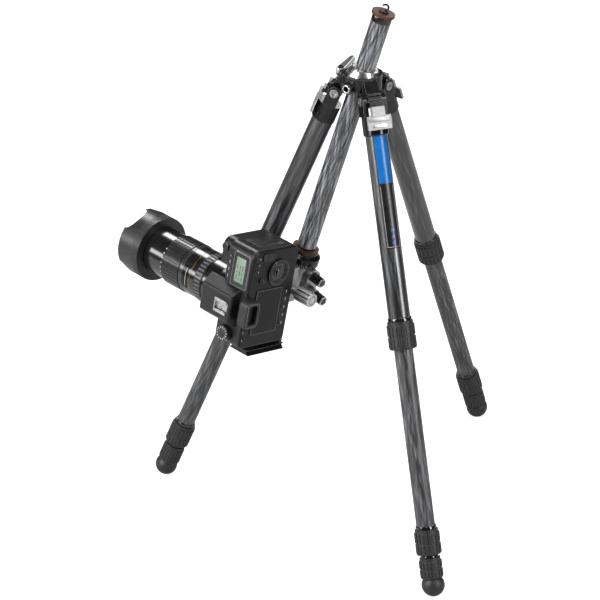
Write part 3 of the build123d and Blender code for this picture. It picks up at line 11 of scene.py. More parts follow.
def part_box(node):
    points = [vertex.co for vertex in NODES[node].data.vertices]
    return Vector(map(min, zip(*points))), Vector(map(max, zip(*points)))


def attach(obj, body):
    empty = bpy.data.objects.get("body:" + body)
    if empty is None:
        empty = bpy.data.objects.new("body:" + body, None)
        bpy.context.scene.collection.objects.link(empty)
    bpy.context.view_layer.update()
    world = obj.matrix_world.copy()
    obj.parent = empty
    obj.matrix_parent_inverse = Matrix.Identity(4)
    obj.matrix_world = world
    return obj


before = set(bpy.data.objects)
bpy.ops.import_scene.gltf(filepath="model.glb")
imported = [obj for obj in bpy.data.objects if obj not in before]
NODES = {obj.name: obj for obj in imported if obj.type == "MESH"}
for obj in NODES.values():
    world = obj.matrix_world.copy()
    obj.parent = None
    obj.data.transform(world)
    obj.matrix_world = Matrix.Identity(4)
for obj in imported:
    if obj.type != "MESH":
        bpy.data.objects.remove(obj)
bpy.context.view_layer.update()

# The tripod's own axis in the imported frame
seat_low, seat_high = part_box("ball_seat_ring")
AXIS = Vector(((seat_low.x + seat_high.x) / 2, (seat_low.y + seat_high.y) / 2, 0))
MM_PER_METRE = 1000


def placed(origin, across, up):
    """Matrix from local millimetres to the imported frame, for an origin and two local directions."""
    x = Vector(across).normalized()
    y = Vector(up).normalized()
    turn = Matrix((x, y, x.cross(y))).transposed().to_4x4()
    turn.translation = Vector(origin) / MM_PER_METRE + AXIS
    return turn @ Matrix.Scale(1 / MM_PER_METRE, 4)


# Frames of the CAD, in millimetres from the tripod's axis
CAMERA = placed(
    (-163.56, -87.243, 373.182), (0.151884, 0.125777, 0.980363), (-0.563144, -0.804122, 0.190411)
)
HEAD = placed(
    (-93.794, -9.693, 373.436), (-0.563144, -0.804122, 0.190411), (0.776567, -0.593746, -0.210733)
)
COLUMN = placed((0, 0, 691.765), (0.953741, 0.09856, -0.284015), (-0.102793, 0.994703, 0))
LEGS = [
    placed((19, -32.909, 670.065), (0.462935, -0.801827, 0.377841), (0.866025, 0.5, 0)),
    placed((19, 32.909, 670.065), (0.462935, 0.801827, 0.377841), (-0.866025, 0.5, 0)),
    placed((-38, 0, 670.065), (-0.925871, 0, 0.377841), (0, -1, 0)),
]
PORT = placed((-18.5, -32.043, 683.765), (0.866025, -0.5, 0), (0, 0, 1))
# Turns that make a frame's up, or its across, the local Z
UP_OUT = Matrix(((1, 0, 0, 0), (0, 0, 1, 0), (0, -1, 0, 0), (0, 0, 0, 1)))
ACROSS_OUT = Matrix(((0, 0, 1, 0), (1, 0, 0, 0), (0, 1, 0, 0), (0, 0, 0, 1)))
# Planes on the camera, its top and its grip end, local Z outward
TOP = CAMERA @ UP_OUT
GRIP_END = CAMERA @ ACROSS_OUT
# Down the lens from its mount, local Z forward
LENS = CAMERA @ Matrix.Rotation(math.pi, 4, "Y")
# Along the head's knobs, local Z out of the housing
KNOBS = HEAD @ UP_OUT
# Along the clamp's screw, local Z towards its knob
SCREW = CAMERA @ Matrix.Translation((11.6, -63.5, 0))


# Materials

# Edge that the shading rounds, and depths of the bumps, in metres
EDGE_RADIUS = 0.0009
GRAIN_DEPTH = 0.0004
FIBRE_DEPTH = 0.0003
GLASS_DEPTH = 0.0002
BUMP_SAMPLES = 4
EDGE_WEAR_AND_HIGHLIGHT_SAMPLES = 6
# Cosine between the rounded and the plain normal where an edge's lighter tone, painted highlight that also
# stands for wear, is full, and where it ends
EDGE_WEAR_AND_HIGHLIGHT_FULL = 0.84
EDGE_WEAR_AND_HIGHLIGHT_NONE = 0.985
# Scale of the tone's noise against the grain's
TONE_SCALE = 0.12
# Radius in metres that turns an angle round a tube into a length, and fibre lanes in a metre of it
WRAP_RADIUS = 0.016
FIBRE_LANES = 260.0
# Second layer of fibre against the first
COUNTER_TWIST = 0.6
COUNTER_STREAK = 1.5


def grey(value):
    """RGB of one grey."""
    return (value, value, value)


def cool(value):
    """RGB of one grey with the blue cast of carbon."""
    return (0.95 * value, 0.98 * value, 1.06 * value)


def new_material(name):
    """Empty node material with a Principled shader on its output."""
    made = bpy.data.materials.new(name)
    made.use_nodes = True
    tree = made.node_tree
    tree.nodes.clear()
    shader = tree.nodes.new("ShaderNodeBsdfPrincipled")
    output = tree.nodes.new("ShaderNodeOutputMaterial")
    tree.links.new(shader.outputs["BSDF"], output.inputs["Surface"])
    return made, tree, shader


def add_ramp(tree, factor, stops):
    """Colour ramp from RGB stops over a 0 to 1 factor."""
    ramp = tree.nodes.new("ShaderNodeValToRGB")
    while len(ramp.color_ramp.elements) < len(stops):
        ramp.color_ramp.elements.new(0.5)
    for element, (place, colour) in zip(ramp.color_ramp.elements, stops):
        element.position = place
        element.color = (*colour, 1)
    tree.links.new(factor, ramp.inputs["Fac"])
    return ramp.outputs["Color"]


def add_noise(tree, vector, scale, detail, distortion=0.0):
    """Noise texture on a vector."""
    noise = tree.nodes.new("ShaderNodeTexNoise")
    noise.inputs["Scale"].default_value = scale
    noise.inputs["Detail"].default_value = detail
    noise.inputs["Distortion"].default_value = distortion
    tree.links.new(vector, noise.inputs["Vector"])
    return noise.outputs["Fac"]


def add_range(tree, factor, low, high):
    """Map a 0 to 1 factor to low to high."""
    mapped = tree.nodes.new("ShaderNodeMapRange")
    mapped.inputs["To Min"].default_value = low
    mapped.inputs["To Max"].default_value = high
    tree.links.new(factor, mapped.inputs["Value"])
    return mapped.outputs["Result"]


def add_math(tree, operation, first, second):
    """Math node on sockets or numbers."""
    node = tree.nodes.new("ShaderNodeMath")
    node.operation = operation
    for socket, value in zip(node.inputs, (first, second)):
        if isinstance(value, (int, float)):
            socket.default_value = value
        else:
            tree.links.new(value, socket)
    return node.outputs["Value"]


def add_rounding(tree, samples):
    """Normal over edges rounded by EDGE_RADIUS."""
    bevel = tree.nodes.new("ShaderNodeBevel")
    bevel.samples = samples
    bevel.inputs["Radius"].default_value = EDGE_RADIUS
    return bevel.outputs["Normal"]


def add_bump(tree, height, strength, distance, shader):
    """Bump a shader's rounded normal by a height."""
    bump = tree.nodes.new("ShaderNodeBump")
    tree.links.new(add_rounding(tree, BUMP_SAMPLES), bump.inputs["Normal"])
    bump.inputs["Strength"].default_value = strength
    bump.inputs["Distance"].default_value = distance
    tree.links.new(height, bump.inputs["Height"])
    tree.links.new(bump.outputs["Normal"], shader.inputs["Normal"])


def add_wear_and_edge_highlight(tree, colour, tone):
    """Colour that goes over to a lighter tone along edges, where the rounded normal leaves the plain one:
    painted highlight that also stands for wear.
    """
    apart = tree.nodes.new("ShaderNodeVectorMath")
    apart.operation = "DOT_PRODUCT"
    tree.links.new(add_rounding(tree, EDGE_WEAR_AND_HIGHLIGHT_SAMPLES), apart.inputs[0])
    tree.links.new(tree.nodes.new("ShaderNodeNewGeometry").outputs["Normal"], apart.inputs[1])
    spread = tree.nodes.new("ShaderNodeMapRange")
    spread.inputs["From Min"].default_value = EDGE_WEAR_AND_HIGHLIGHT_FULL
    spread.inputs["From Max"].default_value = EDGE_WEAR_AND_HIGHLIGHT_NONE
    spread.inputs["To Min"].default_value = 1.0
    spread.inputs["To Max"].default_value = 0.0
    tree.links.new(apart.outputs["Value"], spread.inputs["Value"])
    mix = tree.nodes.new("ShaderNodeMixRGB")
    mix.inputs["Color2"].default_value = (*tone, 1)
    tree.links.new(spread.outputs["Result"], mix.inputs["Fac"])
    tree.links.new(colour, mix.inputs["Color1"])
    return mix.outputs["Color"]


def surface(
    name, dark, light, grain, rough, bump,
    metal=0.0, coat=0.0, shine=0.3, edge_wear_and_highlight=0.0, stretch=None, cells=False,
):
    """Grained finish: two tones mixed by noise, uneven roughness and a fine bump."""
    made, tree, shader = new_material(name)
    coordinates = tree.nodes.new("ShaderNodeTexCoord").outputs["Object"]
    if stretch:
        mapping = tree.nodes.new("ShaderNodeMapping")
        mapping.inputs["Scale"].default_value = stretch
        tree.links.new(coordinates, mapping.inputs["Vector"])
        coordinates = mapping.outputs["Vector"]
    tone = add_noise(tree, coordinates, grain * TONE_SCALE, 6.0)
    fine = add_noise(tree, coordinates, grain, 3.0)
    colour = add_ramp(tree, tone, ((0.3, dark), (0.7, light)))
    # Edges go over to a lighter grey: painted highlight along the edges, which also stands for wear
    if edge_wear_and_highlight:
        colour = add_wear_and_edge_highlight(tree, colour, grey(edge_wear_and_highlight))
    tree.links.new(colour, shader.inputs["Base Color"])
    tree.links.new(add_range(tree, fine, *rough), shader.inputs["Roughness"])
    shader.inputs["Metallic"].default_value = metal
    shader.inputs["Specular IOR Level"].default_value = shine
    shader.inputs["Coat Weight"].default_value = coat
    height = fine
    if cells:
        pores = tree.nodes.new("ShaderNodeTexVoronoi")
        pores.inputs["Scale"].default_value = grain
        tree.links.new(coordinates, pores.inputs["Vector"])
        height = pores.outputs["Distance"]
    add_bump(tree, height, bump, GRAIN_DEPTH, shader)
    return made


def wrapped(tree, place):
    """Round-the-tube length and along-the-tube length, in metres, for a tube's frame."""
    turn = place.to_3x3().normalized().inverted()
    coordinates = tree.nodes.new("ShaderNodeTexCoord").outputs["Object"]
    mapping = tree.nodes.new("ShaderNodeMapping")
    mapping.inputs["Location"].default_value = -(turn @ place.translation)
    mapping.inputs["Rotation"].default_value = turn.to_euler()
    tree.links.new(coordinates, mapping.inputs["Vector"])
    split = tree.nodes.new("ShaderNodeSeparateXYZ")
    tree.links.new(mapping.outputs["Vector"], split.inputs["Vector"])
    angle = add_math(tree, "ARCTAN2", split.outputs["Y"], split.outputs["X"])
    return add_math(tree, "MULTIPLY", angle, WRAP_RADIUS), split.outputs["Z"]


def carbon(name, place, stops, twist, streak, rough, coat):
    """Carbon tube: streaks of fibre that wind round the tube's frame under a clear coat."""
    made, tree, shader = new_material(name)
    across, along = wrapped(tree, place)
    wound = add_math(tree, "ADD", across, add_math(tree, "MULTIPLY", along, twist))
    back = add_math(tree, "MULTIPLY", along, twist * COUNTER_TWIST)
    counter = add_math(tree, "SUBTRACT", across, back)
    layers = []
    for lane, stretch in ((wound, streak), (counter, streak * COUNTER_STREAK)):
        spot = tree.nodes.new("ShaderNodeCombineXYZ")
        tree.links.new(add_math(tree, "MULTIPLY", lane, FIBRE_LANES), spot.inputs["X"])
        tree.links.new(add_math(tree, "MULTIPLY", along, stretch), spot.inputs["Y"])
        layers.append(add_noise(tree, spot.outputs["Vector"], 1.0, 5.0, 0.4))
    both = add_math(tree, "MULTIPLY", add_math(tree, "ADD", *layers), 0.5)
    tree.links.new(add_ramp(tree, both, stops), shader.inputs["Base Color"])
    tree.links.new(add_range(tree, layers[1], *rough), shader.inputs["Roughness"])
    shader.inputs["Specular IOR Level"].default_value = 0.65
    shader.inputs["Coat Weight"].default_value = coat
    shader.inputs["Coat Roughness"].default_value = 0.12
    add_bump(tree, layers[0], 0.12, FIBRE_DEPTH, shader)
    return made


def coated_glass(name):
    """Front glass with a violet coating."""
    made, tree, shader = new_material(name)
    coordinates = tree.nodes.new("ShaderNodeTexCoord").outputs["Object"]
    tone = add_noise(tree, coordinates, 40.0, 2.0)
    stops = ((0.35, (0.010, 0.008, 0.016)), (0.65, (0.030, 0.020, 0.050)))
    tree.links.new(add_ramp(tree, tone, stops), shader.inputs["Base Color"])
    tree.links.new(add_range(tree, tone, 0.02, 0.06), shader.inputs["Roughness"])
    shader.inputs["Coat Weight"].default_value = 0.6
    shader.inputs["Coat Tint"].default_value = (0.75, 0.65, 1.0, 1)
    add_bump(tree, tone, 0.01, GLASS_DEPTH, shader)
    return made


# Each finish's dark tone, light tone, grain, roughness range and bump, then what it has besides
FINISHES = {
    "black_metal": (
        grey(0.003), grey(0.007), 900, (0.14, 0.24), 0.04, dict(coat=0.1, shine=0.30, edge_wear_and_highlight=0.1)
    ),
    "gloss_black": (
        grey(0.003), grey(0.007), 700, (0.10, 0.20), 0.03, dict(coat=0.3, shine=0.45, edge_wear_and_highlight=0.07)
    ),
    "silver": (grey(0.40), grey(0.56), 1200, (0.22, 0.36), 0.05, dict(metal=1.0, stretch=(1, 1, 0.25))),
    "pearl": (grey(0.22), grey(0.28), 1500, (0.28, 0.42), 0.06, dict(metal=0.3)),
    "steel": (grey(0.30), grey(0.44), 1500, (0.24, 0.38), 0.06, dict(metal=1.0)),
    "knurl": (grey(0.44), grey(0.60), 1500, (0.34, 0.48), 0.06, dict(metal=0.7)),
    "rib": (grey(0.08), grey(0.13), 1300, (0.24, 0.36), 0.05, dict(metal=0.3)),
    "satin": (grey(0.009), grey(0.016), 1500, (0.30, 0.42), 0.06, dict(shine=0.48, edge_wear_and_highlight=0.08)),
    "lacquer": (grey(0.003), grey(0.007), 900, (0.16, 0.22), 0.03, dict(coat=0.1, shine=0.62)),
    "gunmetal": (grey(0.27), grey(0.37), 1600, (0.28, 0.40), 0.08, dict(metal=0.8)),
    "bronze": (
        (0.050, 0.021, 0.012), (0.085, 0.036, 0.021), 900, (0.36, 0.52), 0.08, dict(metal=0.2, shine=0.2)
    ),
    "rubber": (grey(0.007), grey(0.014), 1100, (0.40, 0.58), 0.2, dict(shine=0.4, edge_wear_and_highlight=0.05)),
    "ribbed": (grey(0.005), grey(0.010), 1100, (0.22, 0.34), 0.08, dict(shine=0.45)),
    "shell": (
        grey(0.004), grey(0.009), 2600, (0.28, 0.40), 0.12, dict(cells=True, shine=0.4, edge_wear_and_highlight=0.11)
    ),
    "cover": (
        grey(0.004), grey(0.009), 2400, (0.26, 0.38), 0.10, dict(cells=True, shine=0.22, edge_wear_and_highlight=0.11)
    ),
    "screen": (grey(0.005), (0.008, 0.009, 0.010), 300, (0.12, 0.20), 0.02, dict(coat=0.04, shine=0.16)),
    "display": ((0.13, 0.19, 0.135), (0.18, 0.24, 0.18), 500, (0.26, 0.38), 0.02, dict(coat=0.15)),
    "ink": ((0.03, 0.05, 0.035), (0.05, 0.07, 0.05), 900, (0.35, 0.5), 0.02, {}),
    "bezel": (grey(0.10), grey(0.16), 1400, (0.22, 0.36), 0.05, dict(metal=0.5)),
    "white": (grey(0.36), grey(0.46), 900, (0.44, 0.60), 0.05, {}),
    "gold": ((0.24, 0.15, 0.035), (0.34, 0.22, 0.06), 900, (0.26, 0.40), 0.05, dict(metal=0.7)),
    "blue": ((0.002, 0.075, 0.27), (0.005, 0.115, 0.36), 600, (0.24, 0.36), 0.04, dict(coat=0.1)),
    "label": (grey(0.004), grey(0.009), 800, (0.26, 0.40), 0.04, dict(coat=0.08, shine=0.4)),
}
MATERIAL = {name: surface(name, *values, **besides) for name, (*values, besides) in FINISHES.items()}

LEG_STOPS = ((0.40, cool(0.005)), (0.50, cool(0.014)), (0.57, cool(0.042)), (0.68, cool(0.10)))
LOW_STOPS = ((0.40, cool(0.004)), (0.49, cool(0.015)), (0.56, cool(0.060)), (0.67, cool(0.14)))
COLUMN_STOPS = ((0.38, cool(0.004)), (0.46, cool(0.024)), (0.53, cool(0.11)), (0.64, cool(0.34)))
for number, leg in enumerate(LEGS, 1):
    upper, lower = f"leg_{number}_upper", f"leg_{number}_lower"
    MATERIAL[upper] = carbon(upper, leg, LEG_STOPS, twist=0.12, streak=11.0, rough=(0.24, 0.38), coat=0.35)
    MATERIAL[lower] = carbon(lower, leg, LOW_STOPS, twist=0.16, streak=18.0, rough=(0.42, 0.56), coat=0.08)
MATERIAL["braid"] = carbon(
    "braid", COLUMN, COLUMN_STOPS, twist=0.20, streak=16.0, rough=(0.20, 0.32), coat=0.45
)
MATERIAL["glass"] = coated_glass("coated_glass")

NODE_MATERIAL = {
    "apex_spider": "black_metal",
    "leg_hinge_bolts": "steel",
    "ball_seat_ring": "black_metal",
    "clamp_lever": "silver",
    "column_ball": "silver",
    "column_tube": "braid",
    "column_end_caps": "black_metal",
    "column_end_discs": "bronze",
    "head_base": "black_metal",
    "head_housing": "gunmetal",
    "head_ball": "silver",
    "head_pan_knob": "black_metal",
    "head_lock_knob": "black_metal",
    "clamp_body": "black_metal",
    "clamp_jaw": "gunmetal",
    "clamp_knob": "knurl",
    "l_bracket": "black_metal",
    "camera_body": "shell",
    "rear_cover": "cover",
    "rear_screen": "screen",
    "top_display": "gloss_black",
    "eyecup": "rubber",
    "hot_shoe": "silver",
    "mode_dial": "gloss_black",
    "rear_dial": "gloss_black",
    "main_dial": "rubber",
    "shutter_button": "gloss_black",
    "lens_barrel": "lacquer",
    "focus_ring": "ribbed",
    "zoom_ring": "ribbed",
    "zoom_barrel": "lacquer",
    "front_lens": "glass",
    "lens_hood": "satin",
}
for number in (1, 2, 3):
    NODE_MATERIAL[f"leg_{number}_shoulder"] = "black_metal"
    NODE_MATERIAL[f"leg_{number}_latch"] = "pearl"
    NODE_MATERIAL[f"leg_{number}_upper_tube"] = f"leg_{number}_upper"
    NODE_MATERIAL[f"leg_{number}_second_tube"] = f"leg_{number}_lower"
    NODE_MATERIAL[f"leg_{number}_third_tube"] = f"leg_{number}_lower"
    for lock in (1, 2, 3):
        NODE_MATERIAL[f"leg_{number}_lock_{lock}"] = "rubber"
    NODE_MATERIAL[f"leg_{number}_foot"] = "rubber"

SMOOTH_ANGLE = math.radians(32)
for name, node in NODES.items():
    node.data.materials.clear()
    node.data.materials.append(MATERIAL[NODE_MATERIAL[name]])
    node.data.shade_smooth()
    node.data.set_sharp_from_angle(angle=SMOOTH_ANGLE)


# Meshes, in local millimetres and degrees

def skin(rings, closed=False):
    """Faces over rings of as many points each, capped at both ends or joined end to end."""
    count = len(rings[0])
    points = [point for ring in rings for point in ring]
    faces = []
    pairs = [(index, index + 1) for index in range(len(rings) - 1)]
    if closed:
        pairs.append((len(rings) - 1, 0))
    for low, high in pairs:
        for step in range(count):
            after = (step + 1) % count
            faces.append((
                low * count + step, low * count + after, high * count + after, high * count + step
            ))
    if not closed:
        faces.append(tuple(reversed(range(count))))
        faces.append(tuple(range((len(rings) - 1) * count, len(rings) * count)))
    return points, faces


def joined(shapes):
    """One list of points and faces from several."""
    points, faces = [], []
    for some_points, some_faces in shapes:
        start = len(points)
        points += some_points
        faces += [tuple(index + start for index in face) for face in some_faces]
    return points, faces


def rounded(width, height, corner, steps=5):
    """Outline of a rounded rectangle about the origin."""
    outline = []
    for side, end, start in ((1, 1, 0), (-1, 1, 90), (-1, -1, 180), (1, -1, 270)):
        for step in range(steps + 1):
            angle = math.radians(start + 90 * step / steps)
            outline.append((
                side * (width / 2 - corner) + corner * math.cos(angle),
                end * (height / 2 - corner) + corner * math.sin(angle),
            ))
    return outline


def pad_shape(centre, size, corner, low, high, edge, turn=0.0):
    """Rounded pad with a rolled top edge, turned about its own middle."""
    rings = []
    cosine, sine = math.cos(math.radians(turn)), math.sin(math.radians(turn))
    for inset, level in ((0, low), (0, high - edge), (edge * 0.3, high - edge * 0.3), (edge, high)):
        bend = max(corner - inset, corner * 0.2)
        rings.append([
            (centre[0] + x * cosine - y * sine, centre[1] + x * sine + y * cosine, level)
            for x, y in rounded(size[0] - 2 * inset, size[1] - 2 * inset, bend)
        ])
    return skin(rings)


def frame_shape(centre, outer, inner, corner, low, high, edge):
    """Rounded rectangular rim with rolled edges."""
    outlines = (
        (outer, corner, low),
        (outer, corner, high - edge),
        ((outer[0] - edge, outer[1] - edge), corner - edge / 2, high),
        ((inner[0] + edge, inner[1] + edge), corner * 0.6 + edge / 2, high),
        (inner, corner * 0.6, high - edge),
        (inner, corner * 0.6, low),
    )
    rings = [
        [(centre[0] + x, centre[1] + y, level) for x, y in rounded(*size, bend)]
        for size, bend, level in outlines
    ]
    return skin(rings, closed=True)


def turned_shape(profile, steps=48, centre=(0, 0), closed=False):
    """Profile of radius and height turned about local Z, capped, or closed into a ring."""
    rings = []
    for radius, level in profile:
        rings.append([
            (
                centre[0] + radius * math.cos(2 * math.pi * step / steps),
                centre[1] + radius * math.sin(2 * math.pi * step / steps),
                level,
            )
            for step in range(steps)
        ])
    return skin(rings, closed)


def patch_shape(radius, thick, low, high, start, end, steps=16):
    """Curved plate on a tube, from one angle to another."""
    corners = ((radius, low), (radius + thick, low), (radius + thick, high), (radius, high))
    rings = []
    for step in range(steps + 1):
        angle = math.radians(start + (end - start) * step / steps)
        rings.append([(r * math.cos(angle), r * math.sin(angle), z) for r, z in corners])
    return skin(rings)


def piece(name, place, shapes, body, material):
    """One mesh from one or more shapes in a frame, riding on a body."""
    points, faces = joined(shapes)
    mesh = bpy.data.meshes.new(name)
    mesh.from_pydata([place @ Vector(point) for point in points], [], faces)
    mesh.materials.append(MATERIAL[material])
    mesh.validate()
    mesh.shade_smooth()
    mesh.set_sharp_from_angle(angle=SMOOTH_ANGLE)
    made = bpy.data.objects.new(name, mesh)
    bpy.context.scene.collection.objects.link(made)
    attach(made, body)


def turned(name, place, profile, body, material, **options):
    """One turned shape as a piece."""
    piece(name, place, [turned_shape(profile, **options)], body, material)


# Legs: collars above the locks
TUBE_RADII = (16.0, 13.75, 11.5)
COLLAR_ENDS = ((312.0, 317.7), (617.0, 622.7), (661.2, 664.7))
COLLAR_GAP, COLLAR_BEVEL, COLLAR_RISE = 0.05, 1.2, 1.6
for number, leg in enumerate(LEGS, 1):
    riders = (f"leg_{number}", f"leg_{number}_second", f"leg_{number}_third")
    for index, (radius, (top, bottom), rider) in enumerate(zip(TUBE_RADII, COLLAR_ENDS, riders), 1):
        collar = (
            (radius + COLLAR_GAP, -top),
            (radius + COLLAR_BEVEL, -top - 0.7),
            (radius + COLLAR_RISE, -top - 1.8),
            (radius + COLLAR_RISE, -bottom + 0.4),
            (radius + COLLAR_BEVEL, -bottom),
            (radius + COLLAR_GAP, -bottom),
        )
        turned(f"leg_{number}_collar_{index}", leg, collar, rider, "gloss_black", closed=True)

# Near leg: bare labels with a border and three dots
LABEL_ANGLE = 2.5
LABEL_RADIUS = 16.03


def label_shape(thick, low, high, start, end, steps=16, lift=0.0):
    """Plate on the near leg's tube, its angles taken from the labels' middle."""
    return patch_shape(
        LABEL_RADIUS + lift, thick, low, high, LABEL_ANGLE + start, LABEL_ANGLE + end, steps
    )


border = [
    label_shape(0.2, -210, -209.3, -34, 34),
    label_shape(0.2, -210, -122, -36, -34, steps=2),
    label_shape(0.2, -210, -122, 34, 36, steps=2),
]
label_dots = [label_shape(0.14, low, low + 4.5, -8, 8, steps=4, lift=0.05) for low in (-188, -197, -206)]
for name, shapes, material in (
    ("leg_1_blue_label", [label_shape(0.12, -118.5, -50, -38, 38)], "blue"),
    ("leg_1_dark_label", [label_shape(0.10, -212, -118.9, -38, 38)], "label"),
    ("leg_1_label_border", border, "white"),
    ("leg_1_label_dots", label_dots, "blue"),
):
    piece(name, LEGS[0], shapes, "leg_1", material)

# Angle latches: on each pull a darker gunmetal pad of painted shade that stands for an inset finger grip, and
# a step
PULL_FACE = 21.8
for number, leg in enumerate(LEGS, 1):
    face = leg @ ACROSS_OUT
    body = f"leg_{number}_latch"
    inset = pad_shape((0, -36.2), (23, 5.4), corner=1.4, low=PULL_FACE, high=22.32, edge=0.2)
    step = pad_shape((0, -26.4), (33, 7.4), corner=1.6, low=PULL_FACE, high=22.9, edge=0.6)
    # The inset is a raised pad whose darker colour is painted shade
    piece(f"{body}_inset", face, [inset], body, "gunmetal")
    piece(f"{body}_step", face, [step], body, "pearl")

# Column: dark collar under the upper disc
collar = ((14.2, 88.4), (14.58, 88.6), (14.64, 89.2), (14.64, 98.4), (14.58, 98.9), (14.2, 98.9))
turned("column_collar", COLUMN, collar, "column", "gloss_black", closed=True)

# Apex: bushing of the accessory hole
bushing = ((4.1, -2), (6.4, -2), (6.4, 0.5), (5.9, 0.9), (4.6, 0.9), (4.1, 0.4))
turned("port_bushing", PORT, bushing, "stand", "silver", steps=40, closed=True)

# Head: degree marks on the pan base, long and short in turn, and silver ends on the knobs
PAN_MARKS = 48
PAN_RADIUS, PAN_LOW = 25.52, 23.6
marks = []
for step in range(PAN_MARKS):
    middle = 360 / PAN_MARKS * step
    tall = 4.4 if step % 2 == 0 else 2.6
    marks.append(patch_shape(PAN_RADIUS, 0.14, PAN_LOW, PAN_LOW + tall, middle - 1.0, middle + 1.0, steps=1))
piece("pan_marks", HEAD, marks, "column", "white")
for height, tip, body in ((12.5, 50.2, "pan_knob"), (-11.0, 63.2, "lock_knob")):
    spot = (0, -height)
    rim = (
        (4.6, tip - 1), (7.2, tip - 1), (7.4, tip - 0.1), (6.9, tip + 0.7), (5.4, tip + 0.7), (4.9, tip)
    )
    plug = ((4.5, tip - 0.6), (4.3, tip + 0.1), (2.4, tip + 0.3), (2.2, tip - 0.05))
    turned(f"{body}_end", KNOBS, rim, body, "silver", steps=40, centre=spot, closed=True)
    turned(f"{body}_end_plug", KNOBS, plug, body, "gloss_black", steps=6, centre=spot)

# Camera back: dial ridge, set button, joystick, screen rim, dial lines, eyecup ridge and finder window
REAR_DIAL = (55, -9)
EYEPIECE = (0, 44)
ridge = ((14.2, 59.0), (18.9, 59.0), (18.6, 60.0), (16.8, 60.5), (14.8, 59.9))
turned("dial_ridge", CAMERA, ridge, "rear_dial", "rubber", steps=64, centre=REAR_DIAL, closed=True)
button = ((6.2, 59.0), (6.2, 60.2), (5.6, 60.7), (3.4, 60.4), (1.2, 60.3))
turned("set_button", CAMERA, button, "rear_dial", "gloss_black", steps=40, centre=REAR_DIAL)
stick = ((4.6, 57.2), (4.4, 57.9), (2.4, 58.4), (2.1, 60.0), (2.9, 60.6), (2.4, 61.2), (0.8, 61.3))
turned("joystick", CAMERA, stick, "camera", "rubber", steps=32, centre=(45, 22))
screen_rim = frame_shape((-4.5, 2), (71, 53), (66, 48), corner=3.4, low=56, high=57.6, edge=0.6)
piece("screen_rim", CAMERA, [screen_rim], "camera", "gloss_black")
dial_lines = [
    turned_shape(
        ((low, 58.8), (high, 58.8), (high - 0.1, 59.25), (low + 0.1, 59.25)), 64, REAR_DIAL, closed=True
    )
    for low, high in ((19.2, 19.9), (12.6, 13.3), (9.0, 9.7))
]
piece("dial_lines", CAMERA, dial_lines, "rear_dial", "bezel")
ridge = frame_shape(EYEPIECE, (37.4, 23.4), (34.6, 20.6), corner=6.0, low=70.4, high=71.5, edge=0.4)
piece("eyecup_ridge", CAMERA, [ridge], "camera", "rib")
window = pad_shape(EYEPIECE, (27, 13), corner=2.4, low=56.2, high=60.5, edge=0.5)
piece("finder_window", CAMERA, [window], "camera", "glass")
finder_rim = frame_shape(EYEPIECE, (29.6, 15.6), (26, 12), corner=3.0, low=56.2, high=62.0, edge=0.6)
piece("finder_rim", CAMERA, [finder_rim], "camera", "gloss_black")

# Camera back: bare marks by the buttons, thumb rest, and the card door on the grip's end
MARK_LOW, MARK_HIGH, MARK_EDGE = 55.8, 56.14, 0.1
button_marks = [
    pad_shape((12.5 * index - 29.5, -35.4), (4.6, 1.3), 0.5, MARK_LOW, MARK_HIGH, MARK_EDGE)
    for index in range(5)
]
for spot in ((-33, 41.6), (-46, 41.6), (60, 31.4), (70, 31.4), (80, 31.4)):
    button_marks.append(pad_shape(spot, (3.8, 1.2), 0.4, MARK_LOW, MARK_HIGH, MARK_EDGE))
piece("button_marks", CAMERA, button_marks, "camera", "white")
rest = pad_shape((81, 15), (13, 24), corner=6.0, low=55.6, high=58.6, edge=1.8)
piece("thumb_rest", CAMERA, [rest], "camera", "rubber")
door = pad_shape((-3, 26), (52, 36), corner=6.0, low=92.4, high=93.5, edge=0.5)
piece("card_door", GRIP_END, [door], "camera", "shell")
catch = pad_shape((-3, 39), (15, 2.0), corner=0.9, low=93.3, high=93.7, edge=0.2)
piece("door_catch", GRIP_END, [catch], "camera", "gloss_black")

# Camera top: display rim, panel, bars for its figures, and the button row with its marks
DISPLAY = (57, -35)
PANEL = (DISPLAY[0], DISPLAY[1] + 1.0)
display_rim = frame_shape(DISPLAY, (52.6, 33.6), (49.4, 29.4), corner=3.4, low=44.9, high=47.7, edge=0.7)
piece("display_rim", TOP, [display_rim], "camera", "bezel")
panel = pad_shape(PANEL, (38, 19), corner=1.0, low=46.6, high=47.0, edge=0.1)
piece("display_panel", TOP, [panel], "camera", "display")
FIGURE_START, FIGURE_GAP = -15.5, 3.0
figures = []
for across, lengths in ((-5.0, (6, 4, 8)), (0.4, (3.5, 8, 5)), (5.8, (7, 3.5, 6))):
    along = FIGURE_START
    for length in lengths:
        middle = (PANEL[0] + along + length / 2, PANEL[1] + across)
        figures.append(pad_shape(middle, (length, 1.3), corner=0.4, low=46.98, high=47.06, edge=0.03))
        along += length + FIGURE_GAP
piece("display_figures", TOP, figures, "camera", "ink")
ROW_START, ROW_PITCH = 40.5, 10.6
buttons, lines = [], []
for index in range(4):
    x = ROW_START + index * ROW_PITCH
    buttons.append(pad_shape((x, -14.6), (6.4, 3.6), corner=1.5, low=45.4, high=47.2, edge=0.7))
    lines.append(pad_shape((x, -10.6), (5.2, 0.9), corner=0.3, low=45.7, high=46.12, edge=0.1))
piece("top_buttons", TOP, buttons, "camera", "gloss_black")
piece("top_button_marks", TOP, lines, "camera", "white")

